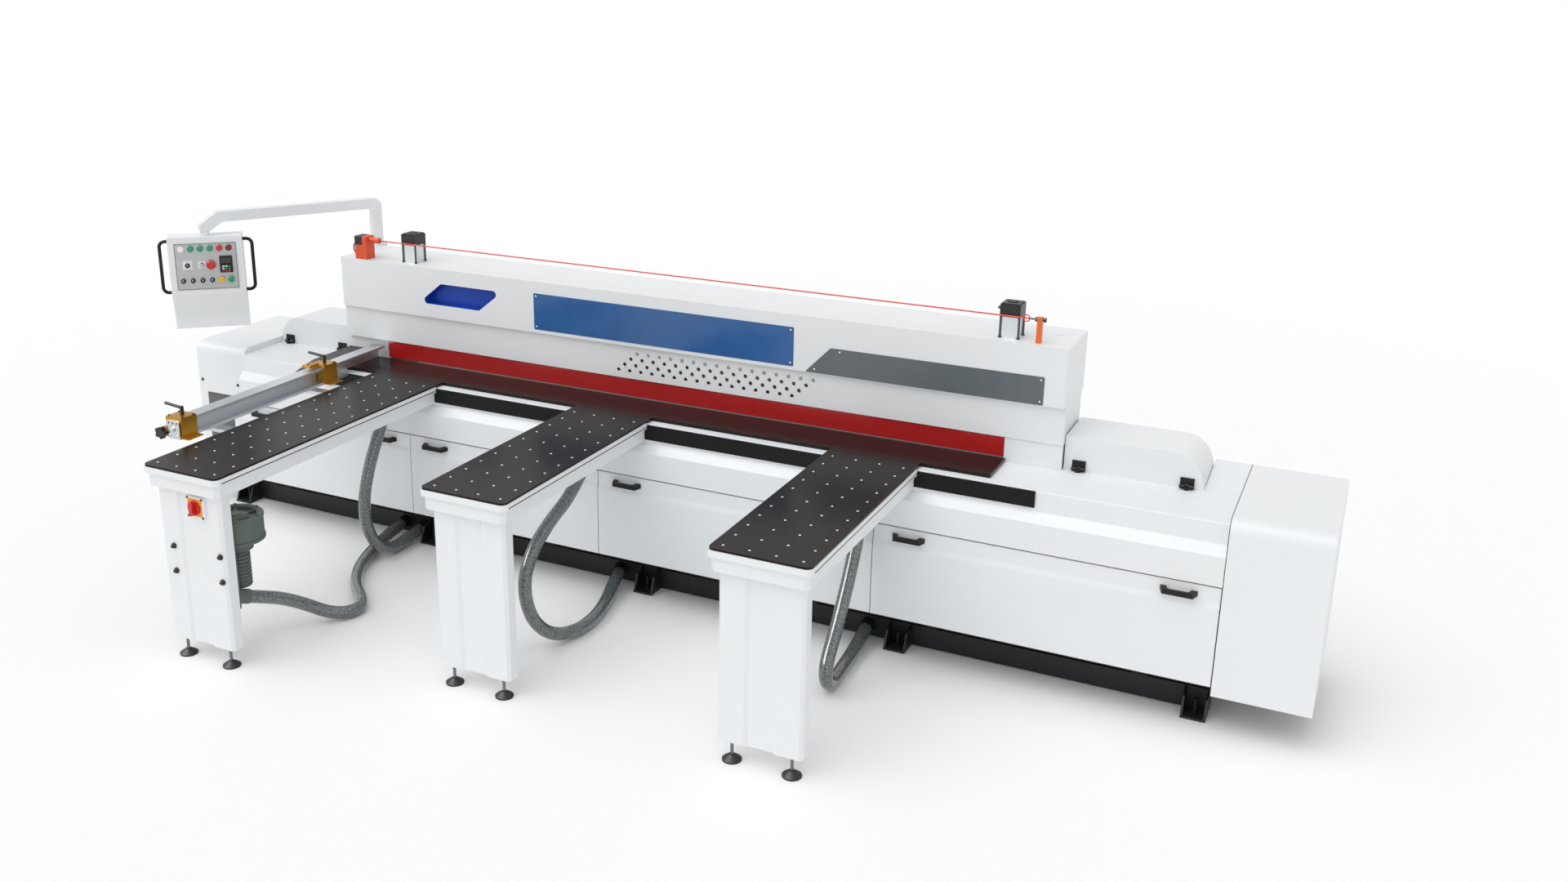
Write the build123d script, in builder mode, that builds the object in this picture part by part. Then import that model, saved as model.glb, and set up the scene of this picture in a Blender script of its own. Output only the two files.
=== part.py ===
from build123d import *
import math
import os

# CNC beam saw, in millimetres. X runs along the beam, Y from the operator to the back, Z up from the floor.

# Driving sizes of the whole machine
LENGTH = 5400.0             # over both end covers
TABLE_Z = 838.0             # working height
FRONT_Y = 353.0             # front plane of the doors
BACK_Y = 996.0              # back of the end covers
LEFT_COVER_W = 320.0
RIGHT_COVER_W = 355.0
COVER_RISE = 28.0           # end covers stand above the deck
SHEET = 4.0                 # body sheet
THIN = 3.0                  # beam sheet
SEAM = 1.5                  # half of the gap between two doors
SLIDE_GAP = 0.3             # between sliding faces
RUN_FIT = 0.05              # radial play of a shaft in its hole
PART_LINE = 0.2             # joint line between pieces that are screwed together
OVER = 1.0                  # a cut or a buried end runs this much further

# Base
RAIL_H = 90.0
RAIL_D = 60.0
RAIL_LIFT = 6.0
RAIL_FRONT_Y = 500.0
RAIL_OUT = 155.0            # base runs out past the body on the left
RAIL_IN = 10.0
RAIL_REAR_IN = 16.0         # rear rail from the rear panel
BRACKETS = 5
BRACKET_W = 93.0
BRACKET_FRONT = 88.0        # reach of a front bracket from its rail
BRACKET_T = 8.0
BRACKET_LEAN = 30.0
BRACKET_NOSE = 16.0         # the front edge ends this far below the rail's top
FLOOR_PLATE = 10.0
ANCHOR_R = 7.0
ANCHOR_EDGE = 17.0          # hole centre from the plate's free edge
JACK_R = 8.0
JACK_EDGE = 52.0
JACK_EDGE_REAR = 38.0
JACK_H = 68.0
JACK_LIFT = 0.5
NUT_RATIO = 1.7             # a nut's radius to its bolt's
PAN_T = 10.0
PAN_SETBACK = 45.0          # belly pan behind the front rail's face
SILL_Z = 160.0

# Body
TABLE_T = 15.0              # dark table plate
DECK_T = 6.0
DECK_EDGE = 34.0            # deck's front edge stands back from the doors
DECK_EDGE_R = 5.5
DECK_RISE_Y = 700.0         # deck rises from here to the right end cover
DECK_RISE_GAP = 2.0         # beside the right hump
BEVEL_Y = 25.0
BEVEL_Z = 29.0
BEVEL_STEP_Z = 8.0
BEND_R = 6.0
REAR_INSET = 40.0           # rear panel inside the covers
POST = 40.0
DOOR_TOP = TABLE_Z - 253.0
DOOR_BOTTOM = 183.0
DOOR_CREASE = 78.0          # middle of the bevel below the door's top
DOOR_STEP = 6.0             # upper band stands back from the door's face
DOOR_BEVEL = 18.0           # height of the bevel between them
DOOR_BEVEL_R = 30.0
DOOR_FOLD_R = 3.0
DOOR_GAP = 5.0              # joint above the door
DOOR_LIP = 18.0
DOOR_T = 2.5
DOOR_1_W = 1342.0
DOOR_3_W = 1033.0
DOOR_4_W = 1057.0
HANDLE_L = 135.0
HANDLE_REACH = 36.0
HANDLE_BAR = 20.0
HANDLE_DROP = 42.0
HANDLE_INSET = 148.0
HANDLE_RAKE = 12.0
HANDLE_FOOT = 22.0
HANDLE_INNER = 30.0
HANDLE_T = 12.0
END_SHEET = 6.0             # end sheet stands back from the door's lip
HINGE_R = 4.0
LUG_HALF = 4.5
LUG_BELOW = 6.0
LUG_TOP = 0.5
LUG_DEPTH = 16.0
PIN_PROUD = 2.0
HINGE_EYE_R = 8.0
HINGE_W = 17.0
EYE_W = 17.5
HINGE_INSET = 260.0
DOOR_PIN_Y = 13.0
DOOR_PIN_Z = 5.0
COVER_BOTTOM = 148.0
COVER_BEND = 50.0
LEFT_FRONT_INSET = 47.0     # left cover stands back from the doors
WINDOW_X = (50.0, 220.0)    # from the left end
WINDOW_Z = (330.0, 590.0)
PASSAGE_SIDE = 8.0          # margin of the passage between body and cover
DUST_R = 60.0
DUST_WALL = 3.0
DUST_X = 0.0
DUST_Z = 330.0

# Table plate and mounting bar
PLATE_LEFT = 445.0
PLATE_RIGHT = 900.0
PLATE_FRONT = 85.0
BAR_H = 66.0
BAR_T = 8.0
BAR_MARGIN = 17.0           # the panel's step below the bar
BAR_DROP = 1.0
BAR_LEFT = 440.0
BAR_RIGHT = 708.0

# Saw
SAW_Y = 760.0
BLADE_R = 175.0
BLADE_T = 4.0
BLADE_TEETH = 72
GULLET = 9.0
TOOTH_DROP = 1.0
TOOTH_LAND = 0.35           # shares of the tooth pitch
TOOTH_ROOT = 0.6
SCORE_R = 60.0
SCORE_TEETH = 24
SCORE_GULLET = 5.0
SCORE_DX = 240.0
BLADE_REST = 5.0            # blade tips below the deck at rest
SLOT_W = 12.0
SLOT_OVER_L = 5.0           # slot beyond the pressure beam
SLOT_OVER_R = 15.0
PLATE_OVER = 10.0
HATCH_OVER_L = 50.0         # hatch beyond the parked blades
HATCH_OVER_R = 155.0
HATCH_IN = 8.0
HATCH_GAP = 15.0
ARBOR_R = 15.0
SCORE_ARBOR_R = 8.0
HOUSING_R = 45.0
SCORE_HOUSING_R = 32.0
MOTOR_R = 80.0
MOTOR_CLEAR = 75.0          # motor axis beyond the blade's edge
MOTOR_DZ = -77.0
MOTOR_L = 172.0
MOTOR_SHAFT_R = 14.0
PULLEY_R = 40.0
MOTOR_PULLEY_R = 50.0
PULLEY_W = 18.0
SHAFT_PROUD = 2.0
HOUSING_GAP = 12.0          # housing behind the saw line
FLANGE_HALF = 8.0
FLANGE_RATIO = 2.2
SHAFT_NOSE = 10.0
MOTOR_BORE = 50.0
BELT_INSET = 2.0
BELT_T = 5.0
BELT_GAP = 0.5
SADDLE_T = 12.0
CARRIAGE_PARK = 305.0       # saw line stands this far beyond the beam's right end
CARRIAGE_LEFT = 360.0
CARRIAGE_RIGHT = 350.0
CARRIAGE_T = 20.0
CARRIAGE_CLEAR = 30.0       # carriage plate below the blade
GUIDE_BEAM = 50.0
GUIDE_BEAM_H = 80.0
GUIDE_RAIL = 20.0
GUIDE_FRONT_Y = 470.0
GUIDE_REAR_Y = 880.0
GUIDE_OVER_L = 100.0
GUIDE_OVER_R = 55.0
SHOE_L = 80.0
SHOE_W = 48.0
SHOE_IN = 70.0
SHOE_GAP = 5.0
CARRIAGE_SIDE = 30.0
RIDE_H = 12.0               # carriage plate above the rails
TOOTH_MODULE = 6.0
PINION_TEETH = 14
TOOTH_SHARE = 0.42          # of the pitch
RACK_BODY = 10.0
RACK_H = 30.0
RACK_LIFT = 10.0
PRESSURE_ANGLE = 20.0
PINION_INSET = 2.0
ROOT_SPREAD = 1.4           # tooth flank at the pinion's root and tip
TIP_TAPER = 2.0
ADDENDUM = 5.0
DEDENDUM = 6.5
PINION_SHAFT_R = 10.0
PINION_DX = -150.0
PINION_GRIP = 20.0
FEED_MOTOR_W = 110.0
FEED_MOTOR_H = 130.0
SADDLE_BACK = 52.0          # saddle behind the saw line
SCORE_SADDLE_BACK = 78.0
PULLEY_GAP = 8.0
SADDLE_LEFT = 150.0
SADDLE_RIGHT = 80.0
SADDLE_BELOW = 130.0
SADDLE_ABOVE = 55.0
LIFT_W = 55.0
LIFT_TOP = 60.0
SCORE_LIFT_W = 44.0
SCORE_LIFT_TOP = 80.0
SCORE_SADDLE_W = 60.0
SCORE_SADDLE_BELOW = 90.0
SCORE_SADDLE_ABOVE = 20.0

# Beam over the table
BEAM_LEFT = 465.0           # beam end from the body's left end
BEAM_RIGHT = 675.0
BEAM_TOP = TABLE_Z + 488.0
BEAM_STEP = TABLE_Z + 246.0
BEAM_UNDER = TABLE_Z + 88.0
UPPER_Y = 630.0
LOWER_Y = 650.0
BEAM_BACK = 950.0
COVER_EDGE_R = 14.0
STEP_RETURN = 35.0
COLUMN_W = 201.0
COLUMN_Y = 690.0
COLUMN_BACK = 940.0
COLUMN_WALL = 8.0
COLUMN_PLAY = 4.0
GIRDER_Y = 775.0
GIRDER_Z = BEAM_STEP + 36.0
PRESS_W = 76.0
PRESS_H = 80.0
PRESS_GAP = 4.0
PRESS_SLOT_H = 58.0
PRESS_END_L = 260.0
PRESS_END_R = 245.0
CYL_LEFT = 391.0            # cylinder axes from the beam's ends
CYL_RIGHT = 252.0
CYL_Y = 717.0
CYL_W = 70.0
CYL_H = 87.0
CYL_CAP_W = 82.0
CYL_CAP_H = 50.0
CYL_BORE = 27.0
CYL_END = 8.0
ROD_R = 12.0
PISTON_H = 14.0
SHELF_H = 14.0
SHELF_W = 115.0
ROD_PLAY = 2.0              # around the rods in the covers
ROD_TOP = 2.0               # piston below the cylinder head
YOKE_W = 80.0
YOKE_H = 20.0
CURTAIN_T = 2.0
CURTAIN_Y = 657.0
CURTAIN_OVER = 8.0
CURTAIN_CLEAR = 3.0
VENT_R = 9.0
VENT_PITCH = 57.0
VENT_ROWS = 4
VENT_COLUMNS = 16
VENT_ROW_GAP = 28.0
VENT_LEAN = 32.0
VENT_X = 128.0
VENT_Z = TABLE_Z + 165.0
POCKET_IN = 473.0           # lower left corner from the beam's left end
POCKET_RISE = 66.0
POCKET_W = 350.0
POCKET_H = 105.0
POCKET_LEAN = 134.0
POCKET_R = 18.0
POCKET_DEPTH = 55.0
SIGHT_IN = 74.0
SIGHT_Y = 819.0
SIGHT_R = 16.0

# Pull rope along the beam's top
ROPE_Y = 668.0
ROPE_RISE = 94.0
ROPE_R = 3.0
ROPE_GAP = 2.0
ROPE_TAIL = 14.0
ROPE_FERRULE = 10.0
FERRULE_R = 9.0
ROPE_PLAY = 1.0
ROPE_POST_IN = 130.0
ROPE_POST_W = 20.0
ROPE_BOX_IN = 130.0
ROPE_BOX = (70.0, 60.0, 112.0)
ROPE_HORN_L = 60.0
ROPE_HORN_R = 14.0

# Hinged humps at both ends of the beam
HUMP_Y = 680.0
HUMP_H = 136.0
HUMP_SLOPE = 110.0          # length of the rounded far end
HUMP_GAP = 3.0
HUMP_RIGHT_W = 533.0
HUMP_LEFT_GAP = 3.0
HUMP_PIN_Y = 12.0
HUMP_PIN_Z = 11.0
HUMP_HINGE_INSET = 60.0
LEAF_T = 6.0
LEAF_H = 44.0
HATCH_Y = 715.0
HATCH_BACK = 905.0

# Extension tables: centre x, front y
TABLES = ((969.5, -696.0), (-249.5, -696.0), (-1369.5, -996.0))
TOP_W = 385.0
TOP_T = 8.0
TOP_R = 25.0
LIP = 5.0
LIP_H = 25.0
APRON_H = 55.0
APRON_INSET = 12.0
APRON_CHAMFER = 18.0
TRAY_WALL = 12.0
LEG_W = 330.0
LEG_D = 55.0
LEG_SETBACK = 40.0
LEG_Z = 84.0
LEG_WALL = 4.0
LEG_CHAMFER = 12.0
PILASTER = 92.0
PILASTER_SLOPE = 14.0
PILASTER_H = 9.0
FOOT_PITCH = 235.0
FOOT_R = 36.0
FOOT_H = 24.0
FOOT_RIM = 6.0
FOOT_STUD_R = 6.0
FOOT_NUT_R = 11.0
FOOT_NUT_H = 9.0

# Side fence with its two stops
FENCE_GAP = 310.5           # right face from the left table's middle
FENCE_W = 68.0
FENCE_H = 80.0
FENCE_LOW = 18.0            # its foot below the table's top
FENCE_WEB = 26.0
FENCE_FLANGE = 10.0
FENCE_FOOT = 12.0
FENCE_FRONT = -680.0
FENCE_BACK = 645.0
FENCE_CLEAR = 12.0          # foot ends this far before the main table's bar
FENCE_ARMS = (-480.0, 120.0)
ARM_W = 50.0
STOP_LEFT = 11.0
STOP_WALL = 8.0
STOP_ROOF = 12.0
STOP_LIFT = 2.0             # above the fence's foot
STOP_KEY = 37.0             # block that runs in the fence's channel
STOP_TOE = 33.0
STOP_TOE_H = 4.0
STOP_L = 84.0
FRONT_STOP_Y = -634.0
REAR_STOP_Y = 240.0
LEVER_IN = 27.0             # lever's post from the fence's right face
LEVER_POST_R = 8.0
LEVER_POST_H = 38.0
LEVER_R = 6.5
LEVER_L = 92.0
LEVER_RISE = 8.0
STAR_R = 27.0
STAR_T = 20.0
STAR_HUB = 0.75             # shares of the star's radius
STAR_PITCH = 0.68
STAR_TIP = 0.32
STAR_LOBES = 5
STAR_OUT = 36.0             # star's axis left of the fence
STAR_LIFT = 18.0            # and above the fence's foot
LUG_R = 22.0                # lug that carries the star's screw
LUG_BACK = 30.0

# Main switch and blower on the left leg
SWITCH_DX = 49.5            # from the left table's middle
SWITCH_Z = 690.0
SWITCH_W = 88.0
SWITCH_T = 14.0
SWITCH_R = 30.0
SWITCH_DISC = 10.0
SWITCH_GRIP_W = 18.0
SWITCH_GRIP_L = 58.0
SWITCH_GRIP_H = 15.0
BLOWER_DX = 49.5            # from the left table's middle
BLOWER_DY = 227.0           # from the left table's front
BLOWER_Z = 495.0
BLOWER_R = 108.0
BLOWER_H = 80.0
BLOWER_NECK_R = 60.0
BLOWER_NECK_H = 52.0
BLOWER_MOTOR_R = 40.0
BLOWER_MOTOR_H = 165.0
BLOWER_ARM_W = 110.0
BLOWER_ARM_INSET = 12.0
PIPE_DX = 25.0              # drop pipe from the blower's axis
PIPE_DY = -76.0
PIPE_IN = 20.0

# Suction hoses: outer radius, wall and routes of the centre line
HOSE_R = 28.0
HOSE_WALL = 3.0
COLLAR_R = 31.0
BEND_SHARE = 0.45
HOSES = {
    "middle_hose": (
        (-251, 230, 728), (-248, 110, 588), (-240, -150, 508), (-238, -290, 408),
        (-235, -325, 288), (-225, -285, 148), (-190, -200, 52), (-140, -90, 32),
        (-135, 50, 31), (-170, 205, 32), (-218, 345, 42), (-248, 455, 56)),
    "right_hose": (
        (962, 318, 716), (962, 298, 560), (965, 225, 440), (968, 140, 325),
        (972, 55, 232), (977, -15, 178), (982, -68, 125), (984, -62, 66),
        (983, -18, 31), (980, 55, 31), (974, 150, 32), (966, 268, 34),
        (958, 370, 42), (952, 455, 52)),
    "left_hose": (
        (-1370, 255, 735), (-1371, 190, 625), (-1370, 113, 496), (-1369, 58, 350),
        (-1369, 62, 210), (-1371, 125, 95), (-1373, 225, 36), (-1375, 340, 33),
        (-1378, 455, 50)),
    "blower_hose": (
        (-1277, -784, 240), (-1256, -692, 203), (-1248, -600, 155), (-1222, -513, 98),
        (-1172, -448, 46), (-1115, -395, 31), (-1095, -320, 31), (-1150, -250, 31),
        (-1258, -163, 31), (-1352, -40, 31), (-1415, 90, 32), (-1455, 222, 36),
        (-1480, 345, 46), (-1490, 455, 54)),
}

# Control pendant on its swivel arm
SWIVEL_OUT = 30.0           # outside the beam's left end
SWIVEL_Y = 955.0
PENDANT_POST_W = 60.0
POST_FOOT_Z = 560.0
POST_WALL = 5.0
POST_CAP = 10.0
ARM_TUBE = 50.0
ARM_TOP = TABLE_Z + 729.0
ARM_FOOT = BEAM_TOP + 6.0
STUB_DX = -452.0            # stub from the swivel
STUB_DY = -714.0
STUB_R = 22.0
STUB_L = 23.0
ARM_NECK = 30.0
ARM_MITRE_OUT = 2.4         # mitre in half tube widths
ARM_MITRE_IN = 3.2
PENDANT_YAW = 41.0
PENDANT_W = 340.0
PENDANT_D = 107.0
PENDANT_FRONT = 50.0        # face in front of the stub's axis
PENDANT_TOP = TABLE_Z + 619.0
FACE_H = 279.0
SLOPE_H = 115.0
SLOPE_D = 60.0
SKIRT_H = 65.0
PENDANT_WALL = 3.0
PANEL_W = 282.0
PANEL_H = 225.0
PANEL_DROP = 29.0
PANEL_T = 2.0
PANEL_R = 6.0
GLAND_R = 10.0
GLAND_IN = 24.0
GRIP_R = 8.0
GRIP_BEND = 26.0
GRIP_REACH = 50.0
GRIP_TOP = 25.0
GRIP_H = 250.0
GRIP_DEPTH = -53.0
COLUMNS = (30.0, 74.0, 118.0, 162.0, 206.0, 248.0)
ROWS = (25.0, 105.0, 180.0)
BUTTON_R = 9.0
BUTTON_OUT = 12.0
BUTTON_IN = 6.0
LAMP_OUT = 9.0
KNOB_R = 11.0
KNOB_STEM_R = 6.0
KNOB_GAP = 2.0
KNOB_H = 8.0
KNOB_BAR = 7.0
MODE_X = 55.0
SPEED_X = 120.0
SPEED_H = 12.0
SPEED_R = 9.0
MUSHROOM_R = 21.0
MUSHROOM_STEM_R = 8.0
MUSHROOM_H = 16.0
MUSHROOM_LIFT = 10.0
MUSHROOM_CROWN = 7.2
COUNTER_X = 231.0
COUNTER_W = 58.0
COUNTER_H = 80.0
COUNTER_T = 12.0
COUNTER_R = 3.0

# Levels and places that follow from the sizes above
BODY_L = -LENGTH / 2 + LEFT_COVER_W
BODY_R = LENGTH / 2 - RIGHT_COVER_W
DECK_Z = TABLE_Z - TABLE_T
UNDER_DECK = DECK_Z - DECK_T
DECK_Y = FRONT_Y + DECK_EDGE
REAR_Y = BACK_Y - REAR_INSET
PAN_Z = RAIL_LIFT + RAIL_H
PAN_TOP = PAN_Z + PAN_T
POST_Y = DECK_Y + SHEET
SEAMS = (BODY_R, BODY_R - DOOR_1_W, BODY_L + DOOR_4_W + DOOR_3_W, BODY_L + DOOR_4_W, BODY_L)
BEAM_L = BODY_L + BEAM_LEFT
BEAM_R = BODY_R - BEAM_RIGHT
TRAY_TOP = TABLE_Z - TOP_T
APRON_TOP = TRAY_TOP - LIP_H
APRON_Z = APRON_TOP - APRON_H
BAR_Y = DECK_Y - BAR_T
PLATE_Y = FRONT_Y + PLATE_FRONT
SAW_X = BEAM_R + CARRIAGE_PARK
ARBOR_Z = UNDER_DECK - BLADE_REST - BLADE_R
SCORE_Z = UNDER_DECK - BLADE_REST - SCORE_R
MOTOR_DX = BLADE_R + MOTOR_CLEAR
CARRIAGE_TOP = ARBOR_Z - BLADE_R - CARRIAGE_CLEAR
CARRIAGE_Z = CARRIAGE_TOP - CARRIAGE_T
RAIL_TOP = CARRIAGE_Z - RIDE_H
GUIDE_TOP = RAIL_TOP - GUIDE_RAIL
GUIDE_Z = GUIDE_TOP - GUIDE_BEAM_H
SADDLE_Y = SAW_Y + SADDLE_BACK
PULLEY_Y = SADDLE_Y + SADDLE_T + PULLEY_GAP
PITCH = math.pi * TOOTH_MODULE
PINION_R = TOOTH_MODULE * PINION_TEETH / 2
RACK_Y = GUIDE_FRONT_Y + GUIDE_BEAM / 2
PITCH_Y = RACK_Y + RACK_BODY + DEDENDUM
PINION_Y = PITCH_Y + PINION_R
RACK_Z = GUIDE_Z + RACK_LIFT
PINION_X = SAW_X + PINION_DX
PRESS_Z = BEAM_UNDER + PRESS_GAP
PRESS_TOP = PRESS_Z + PRESS_H
PRESS_L = BEAM_L + PRESS_END_L
PRESS_R = BEAM_R - PRESS_END_R
ROPE_Z = BEAM_TOP + ROPE_RISE
ROPE_BOX_X = BEAM_L + ROPE_BOX_IN
ROPE_POST_X = BEAM_R - ROPE_POST_IN
CYL_X = (BEAM_L + CYL_LEFT, BEAM_R - CYL_RIGHT)
POCKET_X = BEAM_L + POCKET_IN
POCKET_Z = BEAM_STEP + POCKET_RISE
POCKET = (
    (POCKET_X, POCKET_Z),
    (POCKET_X + POCKET_LEAN, POCKET_Z + POCKET_H),
    (POCKET_X + POCKET_LEAN + POCKET_W, POCKET_Z + POCKET_H),
    (POCKET_X + POCKET_W, POCKET_Z),
)
SWIVEL_X = BEAM_L - SWIVEL_OUT
POST_X = (SWIVEL_X - PENDANT_POST_W / 2, SWIVEL_X + PENDANT_POST_W / 2)
STUB_X = SWIVEL_X + STUB_DX
STUB_Y = SWIVEL_Y + STUB_DY
LEFT_X, LEFT_FRONT = TABLES[2]
FENCE_X = LEFT_X - FENCE_GAP
FENCE_Z = TABLE_Z - FENCE_LOW
FENCE_TOP = FENCE_Z + FENCE_H
STAR_X = FENCE_X - FENCE_W - STAR_OUT
STAR_Z = FENCE_Z + STAR_LIFT
SWITCH_X = LEFT_X + SWITCH_DX
BLOWER_X = LEFT_X + BLOWER_DX
BLOWER_Y = LEFT_FRONT + BLOWER_DY
DROP_PIPE = (BLOWER_X + PIPE_DX, BLOWER_Y + PIPE_DY)
HATCHES = (
    (SAW_X - SCORE_DX - HATCH_OVER_L, SAW_X + HATCH_OVER_R),
    (BODY_L + HATCH_IN, BEAM_L - HATCH_GAP),
)

os.makedirs("parts", exist_ok=True)


def keep(piece, label):
    """Label a finished piece and write it."""
    piece.part.label = label
    export_step(piece.part, f"parts/{label}.step")


def slab(x, y, z, mode=Mode.ADD):
    """A block between two x, two y and two z values."""
    centre = ((x[0] + x[1]) / 2, (y[0] + y[1]) / 2, (z[0] + z[1]) / 2)
    with Locations(centre):
        Box(x[1] - x[0], y[1] - y[0], z[1] - z[0], mode=mode)


def rod(start, end, radius, mode=Mode.ADD):
    """A round bar from one point to another."""
    way = Vector(*end) - Vector(*start)
    with BuildSketch(Plane(origin=start, z_dir=way), mode=Mode.PRIVATE) as section:
        Circle(radius)
    extrude(section.sketch, amount=way.length, mode=mode)


def prism(plane, points, amount, mode=Mode.ADD):
    """A straight-sided outline on a plane, pulled out along its normal."""
    with BuildSketch(plane, mode=Mode.PRIVATE) as outline:
        with BuildLine():
            Polyline(*points, close=True)
        make_face()
    extrude(outline.sketch, amount=amount, mode=mode)


def bent_sheet(plane, points, thickness, radius, amount, side=Side.RIGHT):
    """Sheet metal folded along a line, with a bend radius at each fold."""
    with BuildSketch(plane, mode=Mode.PRIVATE) as section:
        with BuildLine():
            FilletPolyline(*points, radius=radius)
            offset(amount=thickness, side=side)
        make_face()
    extrude(section.sketch, amount=amount)


def bracket_x(index):
    """Left edge of a foot bracket."""
    run = BODY_R - RAIL_IN - BRACKET_W - (BODY_L - RAIL_OUT)
    return BODY_L - RAIL_OUT + run * index / (BRACKETS - 1)


def route_radii(points):
    """The largest bend radius that the two runs at each corner leave room for."""
    radii = []
    for before, here, after in zip(points, points[1:], points[2:]):
        arriving = Vector(*here) - Vector(*before)
        leaving = Vector(*after) - Vector(*here)
        half_turn = math.radians(arriving.get_angle(leaving)) / 2
        shorter = min(arriving.length, leaving.length)
        radii.append(BEND_SHARE * shorter / math.tan(half_turn))
    return radii


def hinge_eye(x, pin):
    """A round eye between two x values, bored to turn on a pin."""
    rod((x[0], *pin), (x[1], *pin), HINGE_EYE_R)
    rod((x[0] - OVER, *pin), (x[1] + OVER, *pin), HINGE_R + RUN_FIT, Mode.SUBTRACT)


def collar(end, before, axis, level):
    """Hose collar that carries on from a hose's end until it reaches a level on an axis."""
    way = (Vector(*end) - Vector(*before)).normalized()
    length = (level - end[axis]) / tuple(way)[axis]
    rod(end, tuple(Vector(*end) + way * length), COLLAR_R)


# Base: two rails with foot brackets, each bracket two cheeks on a floor plate
with BuildPart() as base:
    rear_rail_y = REAR_Y - RAIL_D - RAIL_REAR_IN
    bracket_rear = BACK_Y - rear_rail_y - RAIL_D
    for rail_y in (RAIL_FRONT_Y, rear_rail_y):
        slab((BODY_L - RAIL_OUT, BODY_R - RAIL_IN), (rail_y, rail_y + RAIL_D), (RAIL_LIFT, PAN_Z))
    for index in range(BRACKETS):
        left = bracket_x(index)
        middle = left + BRACKET_W / 2
        sides = ((RAIL_FRONT_Y, -1.0, BRACKET_FRONT, BRACKET_LEAN, JACK_EDGE),
                 (rear_rail_y + RAIL_D, 1.0, bracket_rear, BRACKET_NOSE, JACK_EDGE_REAR))
        for face, out, reach, lean, jack_edge in sides:
            cheek = (
                (face, 0),
                (face + out * reach, 0),
                (face + out * (reach - lean), PAN_Z - BRACKET_NOSE),
                (face, PAN_Z))
            for x in (left, left + BRACKET_W - BRACKET_T):
                prism(Plane.YZ.offset(x), cheek, BRACKET_T)
            floor = sorted((face, face + out * reach))
            slab((left, left + BRACKET_W), floor, (0, FLOOR_PLATE))
            jack = (middle, face + out * (reach - jack_edge))
            rod((*jack, -OVER), (*jack, FLOOR_PLATE + OVER), JACK_R + PART_LINE, Mode.SUBTRACT)
            if index in (0, BRACKETS - 1):
                anchor = (middle, face + out * (reach - ANCHOR_EDGE))
                rod((*anchor, -OVER), (*anchor, FLOOR_PLATE + OVER), ANCHOR_R, Mode.SUBTRACT)
    for points in HOSES.values():
        collar(points[-1], points[-2], 1, RAIL_FRONT_Y + SHEET)
keep(base, "base_frame")

# Body frame: belly pan, sill and front posts on struts, and the door hinges with their pins
with BuildPart() as frame:
    pan_y = RAIL_FRONT_Y + PAN_SETBACK
    sill = (SILL_Z, SILL_Z + POST)
    slab((BODY_L, BODY_R), (pan_y, REAR_Y - SHEET), (PAN_Z, PAN_TOP))
    slab((BODY_L, BODY_R), (POST_Y, POST_Y + POST), sill)
    for seam in SEAMS:
        left = min(max(seam - POST / 2, BODY_L), BODY_R - POST)
        slab((left, left + POST), (POST_Y, POST_Y + POST), (SILL_Z, UNDER_DECK))
        slab((left, left + POST), (POST_Y, pan_y + POST), sill)
        slab((left, left + POST), (pan_y, pan_y + POST), (PAN_Z, SILL_Z))
    slab((BODY_L, BODY_L + SHEET), (FRONT_Y + DOOR_LIP + END_SHEET, POST_Y), (SILL_Z, DOOR_TOP))
    pin_y = FRONT_Y + DOOR_PIN_Y
    pin_z = DOOR_BOTTOM - DOOR_PIN_Z
    for right, left in zip(SEAMS, SEAMS[1:]):
        for x in (left + HINGE_INSET, right - HINGE_INSET):
            lug_z = (pin_z - LUG_BELOW, pin_z + LUG_TOP)
            slab((x - HINGE_W / 2, x + HINGE_W / 2), (pin_y - LUG_HALF, POST_Y), lug_z)
            reach = HINGE_W / 2 + EYE_W + PIN_PROUD
            rod((x - reach, pin_y, pin_z), (x + reach, pin_y, pin_z), HINGE_R)
keep(frame, "body_frame")

# Feet: six under the table legs, and a jack bolt in each foot bracket
with BuildPart() as feet:
    for centre, front in TABLES:
        for side in (-0.5, 0.5):
            x = centre + side * FOOT_PITCH
            y = front + LEG_SETBACK + LEG_D / 2
            upright = Plane(origin=(x, y, 0), x_dir=(1, 0, 0), z_dir=(0, -1, 0))
            with BuildSketch(upright, mode=Mode.PRIVATE) as half:
                with BuildLine():
                    Polyline(
                        (0, 0), (FOOT_R, 0), (FOOT_R, FOOT_RIM),
                        (FOOT_NUT_R, FOOT_H), (FOOT_STUD_R, FOOT_H),
                        (FOOT_STUD_R, LEG_Z), (0, LEG_Z), close=True)
                make_face()
            revolve(half.sketch, axis=Axis((x, y, 0), (0, 0, 1)))
            with BuildSketch(Plane.XY.offset(LEG_Z - FOOT_NUT_H), mode=Mode.PRIVATE) as nut:
                with Locations((x, y)):
                    RegularPolygon(FOOT_NUT_R, 6)
            extrude(nut.sketch, amount=FOOT_NUT_H)
    for index in range(BRACKETS):
        middle = bracket_x(index) + BRACKET_W / 2
        for y in (RAIL_FRONT_Y - BRACKET_FRONT + JACK_EDGE, BACK_Y - JACK_EDGE_REAR):
            rod((middle, y, JACK_LIFT), (middle, y, JACK_H), JACK_R)
            with BuildSketch(Plane.XY.offset(FLOOR_PLATE + PART_LINE), mode=Mode.PRIVATE) as nut:
                with Locations((middle, y)):
                    RegularPolygon(JACK_R * NUT_RATIO, 6)
            extrude(nut.sketch, amount=JACK_R)
keep(feet, "levelling_feet")

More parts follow.
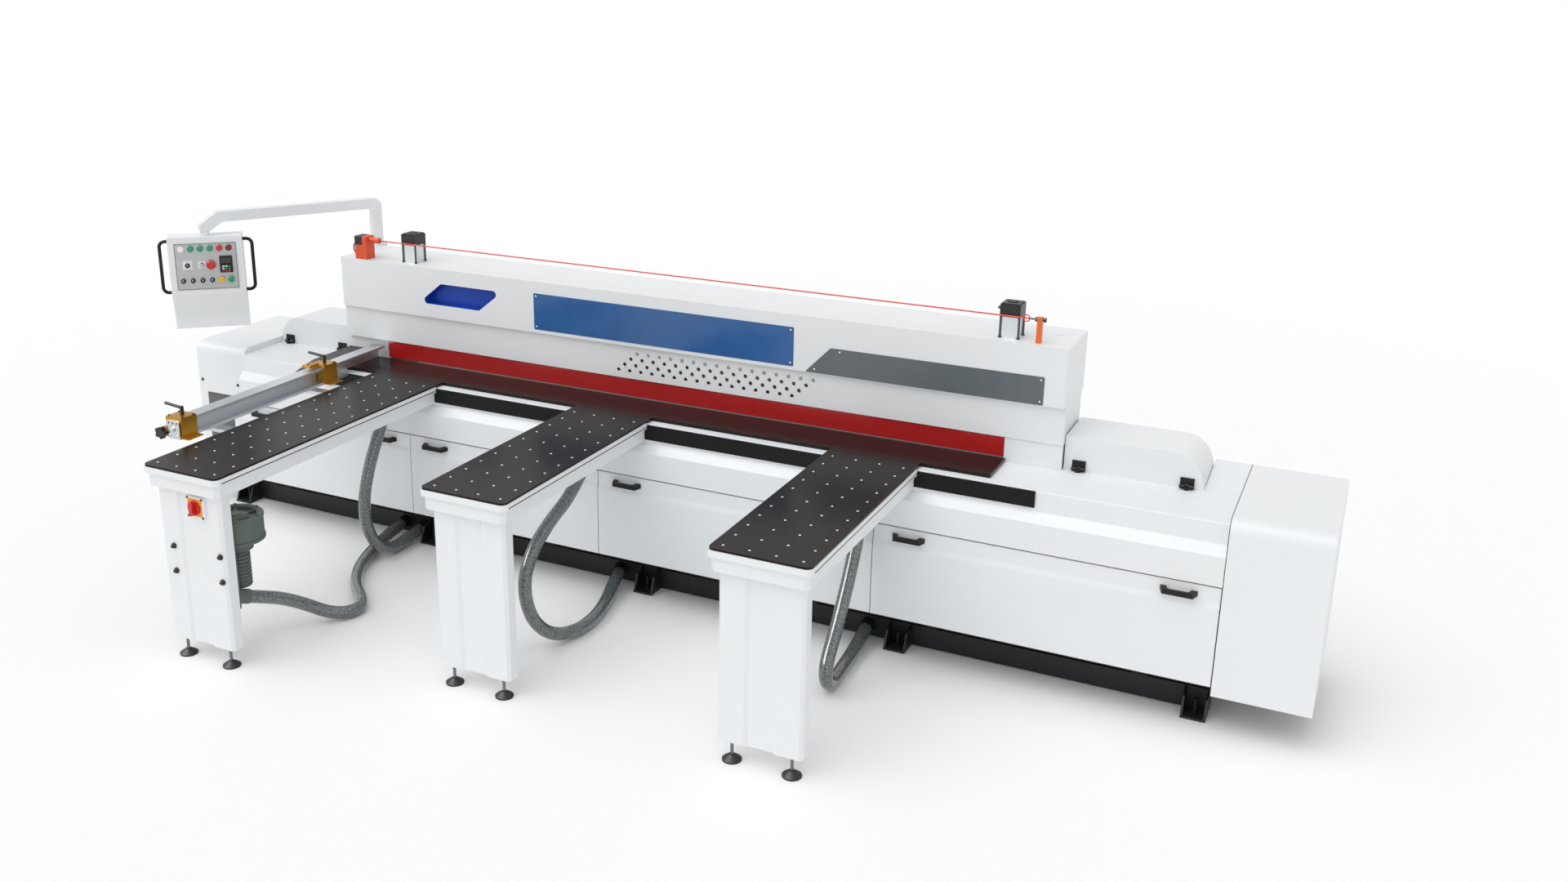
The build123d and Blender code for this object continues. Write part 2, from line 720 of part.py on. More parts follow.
# Fixed front panel: upright strip, step, bevel and the fascia above the doors
with BuildPart() as fascia:
    step_z = DECK_Z - BAR_H - BAR_MARGIN
    bevel_z = step_z - BEVEL_STEP_Z
    fold = (
        (DECK_Y, UNDER_DECK),
        (DECK_Y, step_z),
        (FRONT_Y + BEVEL_Y, bevel_z),
        (FRONT_Y, bevel_z - BEVEL_Z),
        (FRONT_Y, DOOR_TOP + SEAM))
    bent_sheet(Plane.YZ.offset(BODY_L), fold, SHEET, BEND_R, BODY_R - BODY_L, Side.LEFT)
keep(fascia, "front_panel")

# Deck: slotted for the saw, with a hatch under each hump, the humps' hinge lugs and a rise at the right end
HUMPS = (
    ("right_hump_cover", BEAM_R + HUMP_GAP, BEAM_R + HUMP_GAP + HUMP_RIGHT_W, 1),
    ("left_hump_cover", BODY_L + PART_LINE, BEAM_L - HUMP_LEFT_GAP, -1),
)
HUMP_PIN = (HUMP_Y - HUMP_PIN_Y, DECK_Z + HUMP_PIN_Z)
SLOT_X = (PRESS_L - SLOT_OVER_L, PRESS_R + SLOT_OVER_R)
with BuildPart() as deck:
    slab((BODY_L, BODY_R), (DECK_Y, BACK_Y), (UNDER_DECK, DECK_Z))
    front_edge = deck.edges().filter_by(Axis.X).sort_by(Axis.Y)[:2].sort_by(Axis.Z)[-1]
    fillet(front_edge, DECK_EDGE_R)
    slab(POST_X, (REAR_Y, BACK_Y), (UNDER_DECK, DECK_Z), Mode.SUBTRACT)
    slab(SLOT_X, (SAW_Y - SLOT_W / 2, SAW_Y + SLOT_W / 2), (UNDER_DECK, DECK_Z), Mode.SUBTRACT)
    for hatch in HATCHES:
        slab(hatch, (HATCH_Y, HATCH_BACK), (UNDER_DECK, DECK_Z), Mode.SUBTRACT)
    rise_left = HUMPS[0][2] + DECK_RISE_GAP
    rise = ((DECK_RISE_Y, DECK_Z), (BACK_Y, DECK_Z), (BACK_Y, DECK_Z + COVER_RISE))
    prism(Plane.YZ.offset(rise_left), rise, BODY_R - rise_left)
    for label, left, right, far in HUMPS:
        for x in (left + HUMP_HINGE_INSET, right - HUMP_HINGE_INSET):
            lug_y = (HUMP_PIN[0] - LUG_DEPTH, HUMP_PIN[0] + HINGE_R)
            slab((x - HINGE_W / 2, x + HINGE_W / 2), lug_y, (DECK_Z, HUMP_PIN[1] + HINGE_R))
            reach = HINGE_W / 2 + EYE_W + PIN_PROUD
            rod((x - reach, *HUMP_PIN), (x + reach, *HUMP_PIN), HINGE_R)
keep(deck, "deck_plate")

# Rear panel with the dust spigot
with BuildPart() as rear:
    slab((BODY_L, BODY_R), (REAR_Y - SHEET, REAR_Y), (PAN_Z, UNDER_DECK))
    rod((DUST_X, REAR_Y, DUST_Z), (DUST_X, BACK_Y, DUST_Z), DUST_R + DUST_WALL)
    rod((DUST_X, REAR_Y - 2 * SHEET, DUST_Z), (DUST_X, BACK_Y + OVER, DUST_Z), DUST_R, Mode.SUBTRACT)
keep(rear, "rear_panel")

# Table plate on the deck, and the black bar that carries the extension tables
with BuildPart() as plate:
    slab((BODY_L + PLATE_LEFT, BODY_R - PLATE_RIGHT), (PLATE_Y, LOWER_Y), (DECK_Z, TABLE_Z))
    slab((PRESS_L, PRESS_R + PLATE_OVER), (LOWER_Y, COLUMN_BACK), (DECK_Z, TABLE_Z))
    slab(SLOT_X, (SAW_Y - SLOT_W / 2, SAW_Y + SLOT_W / 2), (DECK_Z, TABLE_Z), Mode.SUBTRACT)
    bar_z = (DECK_Z - BAR_DROP - BAR_H, DECK_Z - BAR_DROP)
    slab((BODY_L + BAR_LEFT, BODY_R - BAR_RIGHT), (BAR_Y, DECK_Y), bar_z)
keep(plate, "main_table")

# End covers: bent shells, open below, with a passage in the inner wall
with BuildPart() as covers:
    ends = ((BODY_R, LENGTH / 2, FRONT_Y), (-LENGTH / 2, BODY_L, FRONT_Y + LEFT_FRONT_INSET))
    top = DECK_Z + COVER_RISE
    for left, right, front in ends:
        for inset, mode in ((0.0, Mode.ADD), (SHEET, Mode.SUBTRACT)):
            with BuildSketch(Plane.YZ.offset(left + inset), mode=Mode.PRIVATE) as section:
                with BuildLine():
                    Polyline(
                        (front + inset, COVER_BOTTOM - inset), (front + inset, top - inset),
                        (BACK_Y - inset, top - inset), (BACK_Y - inset, COVER_BOTTOM - inset), close=True)
                make_face()
                corner = section.vertices().group_by(Axis.Y)[-1].sort_by(Axis.X)[0]
                fillet(corner, COVER_BEND - inset)
            extrude(section.sketch, amount=right - left - 2 * inset, mode=mode)
    passage_y = (POST_Y + POST + PASSAGE_SIDE, REAR_Y - SHEET - PASSAGE_SIDE)
    passage = (passage_y, (GUIDE_Z - PASSAGE_SIDE, UNDER_DECK - DECK_T))
    slab((BODY_R, BODY_R + SHEET), *passage, Mode.SUBTRACT)
    slab((BODY_L - SHEET, BODY_L), *passage, Mode.SUBTRACT)
    window_front = FRONT_Y + LEFT_FRONT_INSET
    window_x = (-LENGTH / 2 + WINDOW_X[0], -LENGTH / 2 + WINDOW_X[1])
    slab(window_x, (window_front, window_front + SHEET), WINDOW_Z, Mode.SUBTRACT)
keep(covers, "end_covers")

# Guides for the saw carriage: two beams with rails, and a rack on the front beam
with BuildPart() as guides:
    guide_x = (BODY_L - GUIDE_OVER_L, BODY_R + GUIDE_OVER_R)
    for centre in (GUIDE_FRONT_Y, GUIDE_REAR_Y):
        slab(guide_x, (centre - GUIDE_BEAM / 2, centre + GUIDE_BEAM / 2), (GUIDE_Z, GUIDE_TOP))
        slab(guide_x, (centre - GUIDE_RAIL / 2, centre + GUIDE_RAIL / 2), (GUIDE_TOP, RAIL_TOP))
    for seam in SEAMS:
        left = min(max(seam - POST / 2, BODY_L), BODY_R - POST)
        slab((left, left + POST), (POST_Y + POST, GUIDE_FRONT_Y - GUIDE_BEAM / 2), (GUIDE_Z, GUIDE_TOP))
        slab((left, left + POST), (GUIDE_REAR_Y + GUIDE_BEAM / 2, REAR_Y - SHEET), (GUIDE_Z, GUIDE_TOP))
    slab(guide_x, (RACK_Y, RACK_Y + RACK_BODY), (RACK_Z, RACK_Z + RACK_H))
    half = TOOTH_SHARE * PITCH / 2
    slope = math.tan(math.radians(PRESSURE_ANGLE))
    first = math.ceil((guide_x[0] + PITCH - PINION_X) / PITCH)
    last = math.floor((guide_x[1] - PITCH - PINION_X) / PITCH)
    root_y = RACK_Y + RACK_BODY
    tip_y = PITCH_Y + ADDENDUM
    outline = [(guide_x[0], RACK_Y), (guide_x[0], root_y)]
    for tooth in range(first, last):
        x = PINION_X + (tooth + 0.5) * PITCH
        outline.append((x - half - DEDENDUM * slope, root_y))
        outline.append((x - half + ADDENDUM * slope, tip_y))
        outline.append((x + half - ADDENDUM * slope, tip_y))
        outline.append((x + half + DEDENDUM * slope, root_y))
    outline += [(guide_x[1], root_y), (guide_x[1], RACK_Y)]
    prism(Plane.XY.offset(RACK_Z), outline, RACK_H)
keep(guides, "guide_rails")

# Gantry: two hollow columns, a hollow girder, the cylinder shelves and the pendant's post
with BuildPart() as gantry:
    column_top = BEAM_TOP - THIN
    columns = (BEAM_L + COLUMN_PLAY, BEAM_R - COLUMN_PLAY - COLUMN_W)
    for left in columns:
        slab((left, left + COLUMN_W), (COLUMN_Y, COLUMN_BACK), (DECK_Z, column_top))
    girder_x = (columns[0], columns[1] + COLUMN_W)
    slab(girder_x, (GIRDER_Y, COLUMN_BACK), (GIRDER_Z, column_top))
    for x in CYL_X:
        shelf_x = (x - SHELF_W / 2, x + SHELF_W / 2)
        slab(shelf_x, (COLUMN_Y, GIRDER_Y), (column_top - SHELF_H, column_top))
    girder_hole = (GIRDER_Y + COLUMN_WALL, COLUMN_BACK - COLUMN_WALL)
    slab(girder_x, girder_hole, (GIRDER_Z + COLUMN_WALL, column_top - COLUMN_WALL), Mode.SUBTRACT)
    for left in columns:
        inside_x = (left + COLUMN_WALL, left + COLUMN_W - COLUMN_WALL)
        inside_y = (COLUMN_Y + COLUMN_WALL, COLUMN_BACK - COLUMN_WALL)
        slab(inside_x, inside_y, (DECK_Z, GIRDER_Z), Mode.SUBTRACT)
    for x in CYL_X:
        rod((x, CYL_Y, GIRDER_Z), (x, CYL_Y, BEAM_TOP), ROD_R + ROD_PLAY, Mode.SUBTRACT)
    slab(POST_X, (REAR_Y, BACK_Y), (POST_FOOT_Z, ARM_FOOT))
    hollow_x = (POST_X[0] + POST_WALL, POST_X[1] - POST_WALL)
    hollow_y = (REAR_Y + POST_WALL, BACK_Y - POST_WALL)
    slab(hollow_x, hollow_y, (POST_FOOT_Z, ARM_FOOT - POST_CAP), Mode.SUBTRACT)
    cap_y = (SWIVEL_Y - PENDANT_POST_W / 2, BACK_Y)
    slab((POST_X[0], BEAM_L - PART_LINE), cap_y, (ARM_FOOT - POST_CAP, ARM_FOOT))
keep(gantry, "gantry_frame")

# Upper beam cover: a long folded hood with a slanted pocket in its face
with BuildPart() as upper:
    for inset, mode in ((0.0, Mode.ADD), (THIN, Mode.SUBTRACT)):
        with BuildSketch(Plane.XY.offset(BEAM_STEP), mode=Mode.PRIVATE) as plan:
            with BuildLine():
                Polyline(
                    (BEAM_L + inset, UPPER_Y + inset), (BEAM_R - inset, UPPER_Y + inset),
                    (BEAM_R - inset, BEAM_BACK - inset), (BEAM_L + inset, BEAM_BACK - inset), close=True)
            make_face()
            fillet(plan.vertices().group_by(Axis.Y)[0], COVER_EDGE_R - inset)
        extrude(plan.sketch, amount=BEAM_TOP - BEAM_STEP - inset, mode=mode)
    return_x = (BEAM_L + COVER_EDGE_R, BEAM_R - COVER_EDGE_R)
    slab(return_x, (UPPER_Y + OVER, UPPER_Y + STEP_RETURN), (BEAM_STEP, BEAM_STEP + THIN))
    for depth, grow, mode in ((POCKET_DEPTH, THIN, Mode.ADD), (POCKET_DEPTH - THIN, 0.0, Mode.SUBTRACT)):
        start = UPPER_Y + OVER if mode == Mode.ADD else UPPER_Y - OVER
        upright = Plane(origin=(0, start, 0), x_dir=(1, 0, 0), z_dir=(0, -1, 0))
        with BuildSketch(upright, mode=Mode.PRIVATE) as slant:
            with BuildLine():
                Polyline(*POCKET, close=True)
            make_face()
            fillet(slant.vertices(), POCKET_R)
            if grow:
                offset(amount=grow, mode=Mode.REPLACE)
        extrude(slant.sketch, amount=-depth, mode=mode)
    for x in CYL_X:
        rod((x, CYL_Y, BEAM_TOP - 2 * THIN), (x, CYL_Y, BEAM_TOP + OVER), ROD_R + ROD_PLAY, Mode.SUBTRACT)
    sight = (BEAM_R - SIGHT_IN, SIGHT_Y)
    rod((*sight, BEAM_TOP - 2 * THIN), (*sight, BEAM_TOP + OVER), SIGHT_R, Mode.SUBTRACT)
keep(upper, "upper_cover")

# Lower beam cover: a folded apron with slanted rows of vent holes
with BuildPart() as lower:
    fold = ((COLUMN_Y, BEAM_STEP), (LOWER_Y, BEAM_STEP), (LOWER_Y, BEAM_UNDER))
    bent_sheet(Plane.YZ.offset(BEAM_L), fold, THIN, BEND_R, BEAM_R - BEAM_L, Side.LEFT)
    for x in (BEAM_L, BEAM_R - THIN):
        slab((x, x + THIN), (LOWER_Y + THIN, COLUMN_Y), (BEAM_UNDER, BEAM_STEP - THIN))
    for row in range(VENT_ROWS):
        level = VENT_Z + (row - (VENT_ROWS - 1) / 2) * VENT_ROW_GAP
        centre = VENT_X + (row - (VENT_ROWS - 1) / 2) * VENT_LEAN
        face = Plane(origin=(centre, LOWER_Y - OVER, level), x_dir=(1, 0, 0), z_dir=(0, 1, 0))
        with BuildSketch(face, mode=Mode.PRIVATE) as vents:
            with GridLocations(VENT_PITCH, 1, VENT_COLUMNS, 1):
                Circle(VENT_R)
        extrude(vents.sketch, amount=THIN + 2 * OVER, mode=Mode.SUBTRACT)
keep(lower, "lower_cover")

# Clamp cylinders: square barrel and head on the beam, bored for the piston
with BuildPart() as cylinders:
    barrel_top = BEAM_TOP + CYL_H
    cap_top = barrel_top + CYL_CAP_H
    for x in CYL_X:
        half = CYL_W / 2
        slab((x - half, x + half), (CYL_Y - half, CYL_Y + half), (BEAM_TOP, barrel_top))
        half = CYL_CAP_W / 2
        slab((x - half, x + half), (CYL_Y - half, CYL_Y + half), (barrel_top, cap_top))
        rod((x, CYL_Y, BEAM_TOP + CYL_END), (x, CYL_Y, cap_top - CYL_END), CYL_BORE, Mode.SUBTRACT)
        end_wall = ((x, CYL_Y, BEAM_TOP - OVER), (x, CYL_Y, BEAM_TOP + CYL_END + OVER))
        rod(*end_wall, ROD_R + RUN_FIT, Mode.SUBTRACT)
keep(cylinders, "clamp_cylinders")

# Pressure beam: slotted for the blade, hung on two piston rods
with BuildPart() as press:
    slab((PRESS_L, PRESS_R), (SAW_Y - PRESS_W / 2, SAW_Y + PRESS_W / 2), (PRESS_Z, PRESS_TOP))
    slot_y = (SAW_Y - SLOT_W, SAW_Y + SLOT_W)
    slab((PRESS_L, PRESS_R), slot_y, (PRESS_Z, PRESS_Z + PRESS_SLOT_H), Mode.SUBTRACT)
    piston_top = BEAM_TOP + CYL_H + CYL_CAP_H - CYL_END - ROD_TOP
    for x in CYL_X:
        slab((x - YOKE_W / 2, x + YOKE_W / 2), (CYL_Y - YOKE_H, SAW_Y), (PRESS_TOP, PRESS_TOP + YOKE_H))
        rod((x, CYL_Y, PRESS_TOP + YOKE_H), (x, CYL_Y, piston_top), ROD_R)
        rod((x, CYL_Y, piston_top - PISTON_H), (x, CYL_Y, piston_top), CYL_BORE - RUN_FIT)
keep(press, "pressure_beam")

# Curtain: a strip that swings under the lower cover
with BuildPart() as curtain:
    slab(
        (PRESS_L - PLATE_OVER, PRESS_R + PLATE_OVER),
        (CURTAIN_Y - CURTAIN_T / 2, CURTAIN_Y + CURTAIN_T / 2),
        (TABLE_Z + CURTAIN_CLEAR, BEAM_UNDER + CURTAIN_OVER))
keep(curtain, "curtain")

# Pull rope: switch box with its horn on the left, post on the right
with BuildPart() as fittings:
    wide, deep, high = ROPE_BOX
    box_x = (ROPE_BOX_X - wide / 2, ROPE_BOX_X + wide / 2)
    slab(box_x, (ROPE_Y - deep / 2, ROPE_Y + deep / 2), (BEAM_TOP, BEAM_TOP + high))
    horn_end = box_x[1] + ROPE_HORN_L
    rod((box_x[1], ROPE_Y, ROPE_Z), (horn_end, ROPE_Y, ROPE_Z), ROPE_HORN_R)
    post_half = ROPE_POST_W / 2
    post_y = (ROPE_Y - post_half, ROPE_Y + post_half)
    slab((ROPE_POST_X - post_half, ROPE_POST_X + post_half), post_y, (BEAM_TOP, ROPE_Z + ROPE_POST_W / 2))
    through = (ROPE_POST_X - ROPE_POST_W, ROPE_POST_X + ROPE_POST_W)
    rod((through[0], ROPE_Y, ROPE_Z), (through[1], ROPE_Y, ROPE_Z), ROPE_R + ROPE_PLAY, Mode.SUBTRACT)
keep(fittings, "rope_fittings")

with BuildPart() as rope:
    rope_end = ROPE_POST_X + ROPE_POST_W / 2 + ROPE_TAIL
    rod((horn_end + ROPE_GAP, ROPE_Y, ROPE_Z), (rope_end, ROPE_Y, ROPE_Z), ROPE_R)
    rod((rope_end - ROPE_FERRULE, ROPE_Y, ROPE_Z), (rope_end, ROPE_Y, ROPE_Z), FERRULE_R)
keep(rope, "pull_rope")

# Extension tables: dark tops
with BuildPart() as tops:
    for centre, front in TABLES:
        with BuildSketch(Plane.XY.offset(TRAY_TOP)) as outline:
            middle_y = (front + LIP + PLATE_Y) / 2
            with Locations((centre, middle_y)):
                Rectangle(TOP_W, PLATE_Y - front - LIP)
            fillet(outline.vertices().group_by(Axis.Y)[0], TOP_R)
        extrude(amount=TOP_T)
keep(tops, "extension_tops")

# Extension tables: hollow trays on folded legs, with hose collars and the main switch's box
with BuildPart() as trays:
    for centre, front in TABLES:
        half = TOP_W / 2 + LIP
        with BuildSketch(Plane.XY.offset(APRON_TOP), mode=Mode.PRIVATE) as lip:
            with Locations((centre, (front + BAR_Y) / 2)):
                Rectangle(2 * half, BAR_Y - front)
            fillet(lip.vertices().group_by(Axis.Y)[0], TOP_R + LIP)
        extrude(lip.sketch, amount=LIP_H)
        apron_front = front + APRON_INSET
        with BuildSketch(Plane.XY.offset(APRON_Z), mode=Mode.PRIVATE) as apron:
            with Locations((centre, (apron_front + BAR_Y) / 2)):
                Rectangle(2 * (half - APRON_INSET), BAR_Y - apron_front)
            chamfer(apron.vertices().group_by(Axis.Y)[0], APRON_CHAMFER)
        extrude(apron.sketch, amount=APRON_H)
        inside = half - APRON_INSET - TRAY_WALL
        inside_y = (apron_front + APRON_CHAMFER + TRAY_WALL, BAR_Y - TRAY_WALL)
        slab((centre - inside, centre + inside), inside_y,
             (APRON_Z + SHEET, TRAY_TOP), Mode.SUBTRACT)
        edge = LEG_W / 2
        back = LEG_D / 2
        inner = edge - LEG_CHAMFER - PILASTER
        profile = (
            (-edge, back), (-edge, -back + LEG_CHAMFER), (-edge + LEG_CHAMFER, -back), (-inner, -back),
            (-inner + PILASTER_SLOPE, -back + PILASTER_H), (inner - PILASTER_SLOPE, -back + PILASTER_H),
            (inner, -back), (edge - LEG_CHAMFER, -back), (edge, -back + LEG_CHAMFER), (edge, back))
        leg_y = front + LEG_SETBACK + back
        for level, height, hollow in ((LEG_Z, LEG_WALL * 2, False), (LEG_Z, APRON_Z - LEG_Z, True)):
            with BuildSketch(Plane(origin=(centre, leg_y, level)), mode=Mode.PRIVATE) as leg:
                with BuildLine():
                    Polyline(*profile, close=True)
                make_face()
                if hollow:
                    offset(amount=-LEG_WALL, mode=Mode.SUBTRACT)
            extrude(leg.sketch, amount=height)
    for name in ("right_hose", "middle_hose", "left_hose"):
        collar(HOSES[name][0], HOSES[name][1], 2, APRON_Z + SHEET)
    half = SWITCH_W / 2
    leg_front = LEFT_FRONT + LEG_SETBACK
    slab((SWITCH_X - half, SWITCH_X + half), (leg_front - SWITCH_T, leg_front + LEG_WALL),
         (SWITCH_Z - half, min(SWITCH_Z + half, APRON_Z)))
keep(trays, "extension_frames")

# Main switch: a red rotary handle
with BuildPart() as switch:
    seat = (SWITCH_X, leg_front - SWITCH_T - PART_LINE, SWITCH_Z)
    face = Plane(origin=seat, x_dir=(1, 0, 0), z_dir=(0, -1, 0))
    with BuildSketch(face, mode=Mode.PRIVATE) as disc:
        Circle(SWITCH_R)
    extrude(disc.sketch, amount=SWITCH_DISC)
    with BuildSketch(face.offset(SWITCH_DISC), mode=Mode.PRIVATE) as grip:
        SlotOverall(SWITCH_GRIP_L, SWITCH_GRIP_W, rotation=90)
    extrude(grip.sketch, amount=SWITCH_GRIP_H)
keep(switch, "switch_knob")

# Blower: side channel housing on a motor, hung from the left leg, with its drop pipe
with BuildPart() as blower:
    axis = (BLOWER_X, BLOWER_Y)
    rod((*axis, BLOWER_Z), (*axis, BLOWER_Z + BLOWER_H), BLOWER_R)
    rod((*axis, BLOWER_Z - BLOWER_NECK_H), (*axis, BLOWER_Z), BLOWER_NECK_R)
    motor_top = BLOWER_Z - BLOWER_NECK_H
    rod((*axis, motor_top - BLOWER_MOTOR_H), (*axis, motor_top), BLOWER_MOTOR_R)
    leg_back = leg_front + LEG_D
    arm_z = (BLOWER_Z + BLOWER_ARM_INSET, BLOWER_Z + BLOWER_H - BLOWER_ARM_INSET)
    slab((BLOWER_X - BLOWER_ARM_W, BLOWER_X), (leg_back, BLOWER_Y), arm_z)
    hose_start = HOSES["blower_hose"][0]
    rod((*DROP_PIPE, hose_start[2] - COLLAR_R), (*DROP_PIPE, BLOWER_Z + PIPE_IN), HOSE_R)
    collar(hose_start, HOSES["blower_hose"][1], 1, DROP_PIPE[1])
keep(blower, "blower")

# Hoses: each a round tube on straight runs joined by tangent bends
for label, points in HOSES.items():
    radii = route_radii(points)
    with BuildPart() as hose:
        with BuildLine() as route:
            FilletPolyline(*points, radius=radii)
        with BuildSketch(Plane(origin=points[0], z_dir=Vector(*points[1]) - Vector(*points[0]))):
            Circle(HOSE_R)
            Circle(HOSE_R - HOSE_WALL, mode=Mode.SUBTRACT)
        sweep()
    ring = math.pi * (HOSE_R**2 - (HOSE_R - HOSE_WALL)**2)
    run = sum(edge.length for edge in route.edges())
    print(label, "length", round(run), "bends", [round(radius) for radius in radii],
          "volume share", round(hose.part.volume / (ring * run), 4))
    keep(hose, label)

# Side fence on two arms from the left extension table
with BuildPart() as fence:
    fence_y = (FENCE_FRONT, FENCE_BACK)
    slab((FENCE_X - FENCE_W, FENCE_X), fence_y, (FENCE_Z, FENCE_TOP))
    channel_z = (FENCE_Z + FENCE_FOOT, FENCE_TOP - FENCE_FLANGE)
    slab((FENCE_X - FENCE_W + FENCE_WEB, FENCE_X), fence_y, channel_z, Mode.SUBTRACT)
    slab((FENCE_X - FENCE_W, FENCE_X), (BAR_Y - FENCE_CLEAR, FENCE_BACK), (FENCE_Z, TABLE_Z), Mode.SUBTRACT)
    tray_side = LEFT_X - TOP_W / 2 - LIP
    for y in FENCE_ARMS:
        arm_y = (y - ARM_W / 2, y + ARM_W / 2)
        slab((FENCE_X - FENCE_W, tray_side), arm_y, (APRON_TOP, FENCE_Z))
keep(fence, "fence")


def saddle(y, label, star):
    """A stop that straddles the fence and slides along it: star adds the lug for the star knob."""
    inner_l = FENCE_X - FENCE_W - SLIDE_GAP
    inner_r = FENCE_X + SLIDE_GAP
    outer_l = inner_l - STOP_LEFT
    outer_r = inner_r + STOP_WALL
    low = FENCE_Z + STOP_LIFT
    roof = FENCE_TOP + SLIDE_GAP
    along = (y - STOP_L / 2, y + STOP_L / 2)
    key_z = (FENCE_Z + FENCE_FOOT + SLIDE_GAP, FENCE_TOP - FENCE_FLANGE - SLIDE_GAP)
    with BuildPart() as stop:
        slab((outer_l, outer_r), along, (roof, roof + STOP_ROOF))
        slab((outer_l, inner_l), along, (low, roof))
        slab((inner_r, outer_r), along, (low, roof))
        slab((FENCE_X - STOP_KEY, inner_r), along, key_z)
        slab((outer_r, outer_r + STOP_TOE), along, (low, low + STOP_TOE_H))
        if star:
            rod((STAR_X, along[0], STAR_Z), (STAR_X, along[0] + LUG_BACK, STAR_Z), LUG_R)
    keep(stop, label)


def clamp_lever(y, label):
    """A clamp lever on top of a stop: its post and a slanted grip."""
    x = FENCE_X - LEVER_IN
    low = FENCE_TOP + SLIDE_GAP + STOP_ROOF + PART_LINE
    elbow = low + LEVER_POST_H - LEVER_R
    with BuildPart() as lever:
        rod((x, y, low), (x, y, low + LEVER_POST_H), LEVER_POST_R)
        rod((x, y, elbow), (x - LEVER_L, y, elbow + LEVER_RISE), LEVER_R)
    keep(lever, label)


saddle(FRONT_STOP_Y, "front_stop", True)
saddle(REAR_STOP_Y, "rear_stop", False)
clamp_lever(FRONT_STOP_Y, "front_stop_lever")
clamp_lever(REAR_STOP_Y, "rear_stop_lever")

# Star knob on the front of the front stop's lug
with BuildPart() as star:
    star_y = FRONT_STOP_Y - STOP_L / 2 - PART_LINE
    face = Plane(origin=(STAR_X, star_y, STAR_Z), x_dir=(1, 0, 0), z_dir=(0, -1, 0))
    with BuildSketch(face, mode=Mode.PRIVATE) as lobes:
        Circle(STAR_R * STAR_HUB)
        with PolarLocations(STAR_R * STAR_PITCH, STAR_LOBES):
            Circle(STAR_R * STAR_TIP)
    extrude(lobes.sketch, amount=STAR_T)
keep(star, "star_knob")

# Doors: folded sheet hung on its lower edge, each with two bridge handles
for number, (right, left) in enumerate(zip(SEAMS, SEAMS[1:]), start=1):
    with BuildPart() as door:
        x0 = left + SEAM
        x1 = right - SEAM
        top = DOOR_TOP - DOOR_GAP
        band_y = FRONT_Y + DOOR_STEP
        crease = DOOR_TOP - DOOR_CREASE
        fold = (
            (band_y + DOOR_LIP, top),
            (band_y, top),
            (band_y, crease + DOOR_BEVEL / 2),
            (FRONT_Y, crease - DOOR_BEVEL / 2),
            (FRONT_Y, DOOR_BOTTOM),
            (FRONT_Y + DOOR_LIP, DOOR_BOTTOM))
        bends = (DOOR_FOLD_R, DOOR_BEVEL_R, DOOR_BEVEL_R, DOOR_FOLD_R)
        bent_sheet(Plane.YZ.offset(x0), fold, DOOR_T, bends, x1 - x0, Side.LEFT)
        for x in (left + HINGE_INSET, right - HINGE_INSET):
            for side in (-1, 1):
                near = x + side * (HINGE_W / 2 + SLIDE_GAP)
                eye_x = sorted((near, near + side * EYE_W))
                slab(eye_x, (pin_y - HINGE_EYE_R, pin_y), (pin_z, DOOR_BOTTOM + DOOR_T))
                hinge_eye(eye_x, (pin_y, pin_z))
        grip_z = DOOR_TOP - HANDLE_DROP
        foot_y = band_y - PART_LINE
        inner_y = foot_y - HANDLE_REACH + HANDLE_T
        bar_z = (grip_z - HANDLE_BAR / 2, grip_z + HANDLE_BAR / 2)
        for x in (x0 + HANDLE_INSET, x1 - HANDLE_INSET):
            half = HANDLE_L / 2
            bridge = (
                (x - half, foot_y), (x - half + HANDLE_RAKE, foot_y - HANDLE_REACH),
                (x + half - HANDLE_RAKE, foot_y - HANDLE_REACH), (x + half, foot_y),
                (x + half - HANDLE_FOOT, foot_y), (x + half - HANDLE_INNER, inner_y),
                (x - half + HANDLE_INNER, inner_y), (x - half + HANDLE_FOOT, foot_y))
            prism(Plane.XY.offset(bar_z[0]), bridge, HANDLE_BAR)
    keep(door, f"door_{number}")

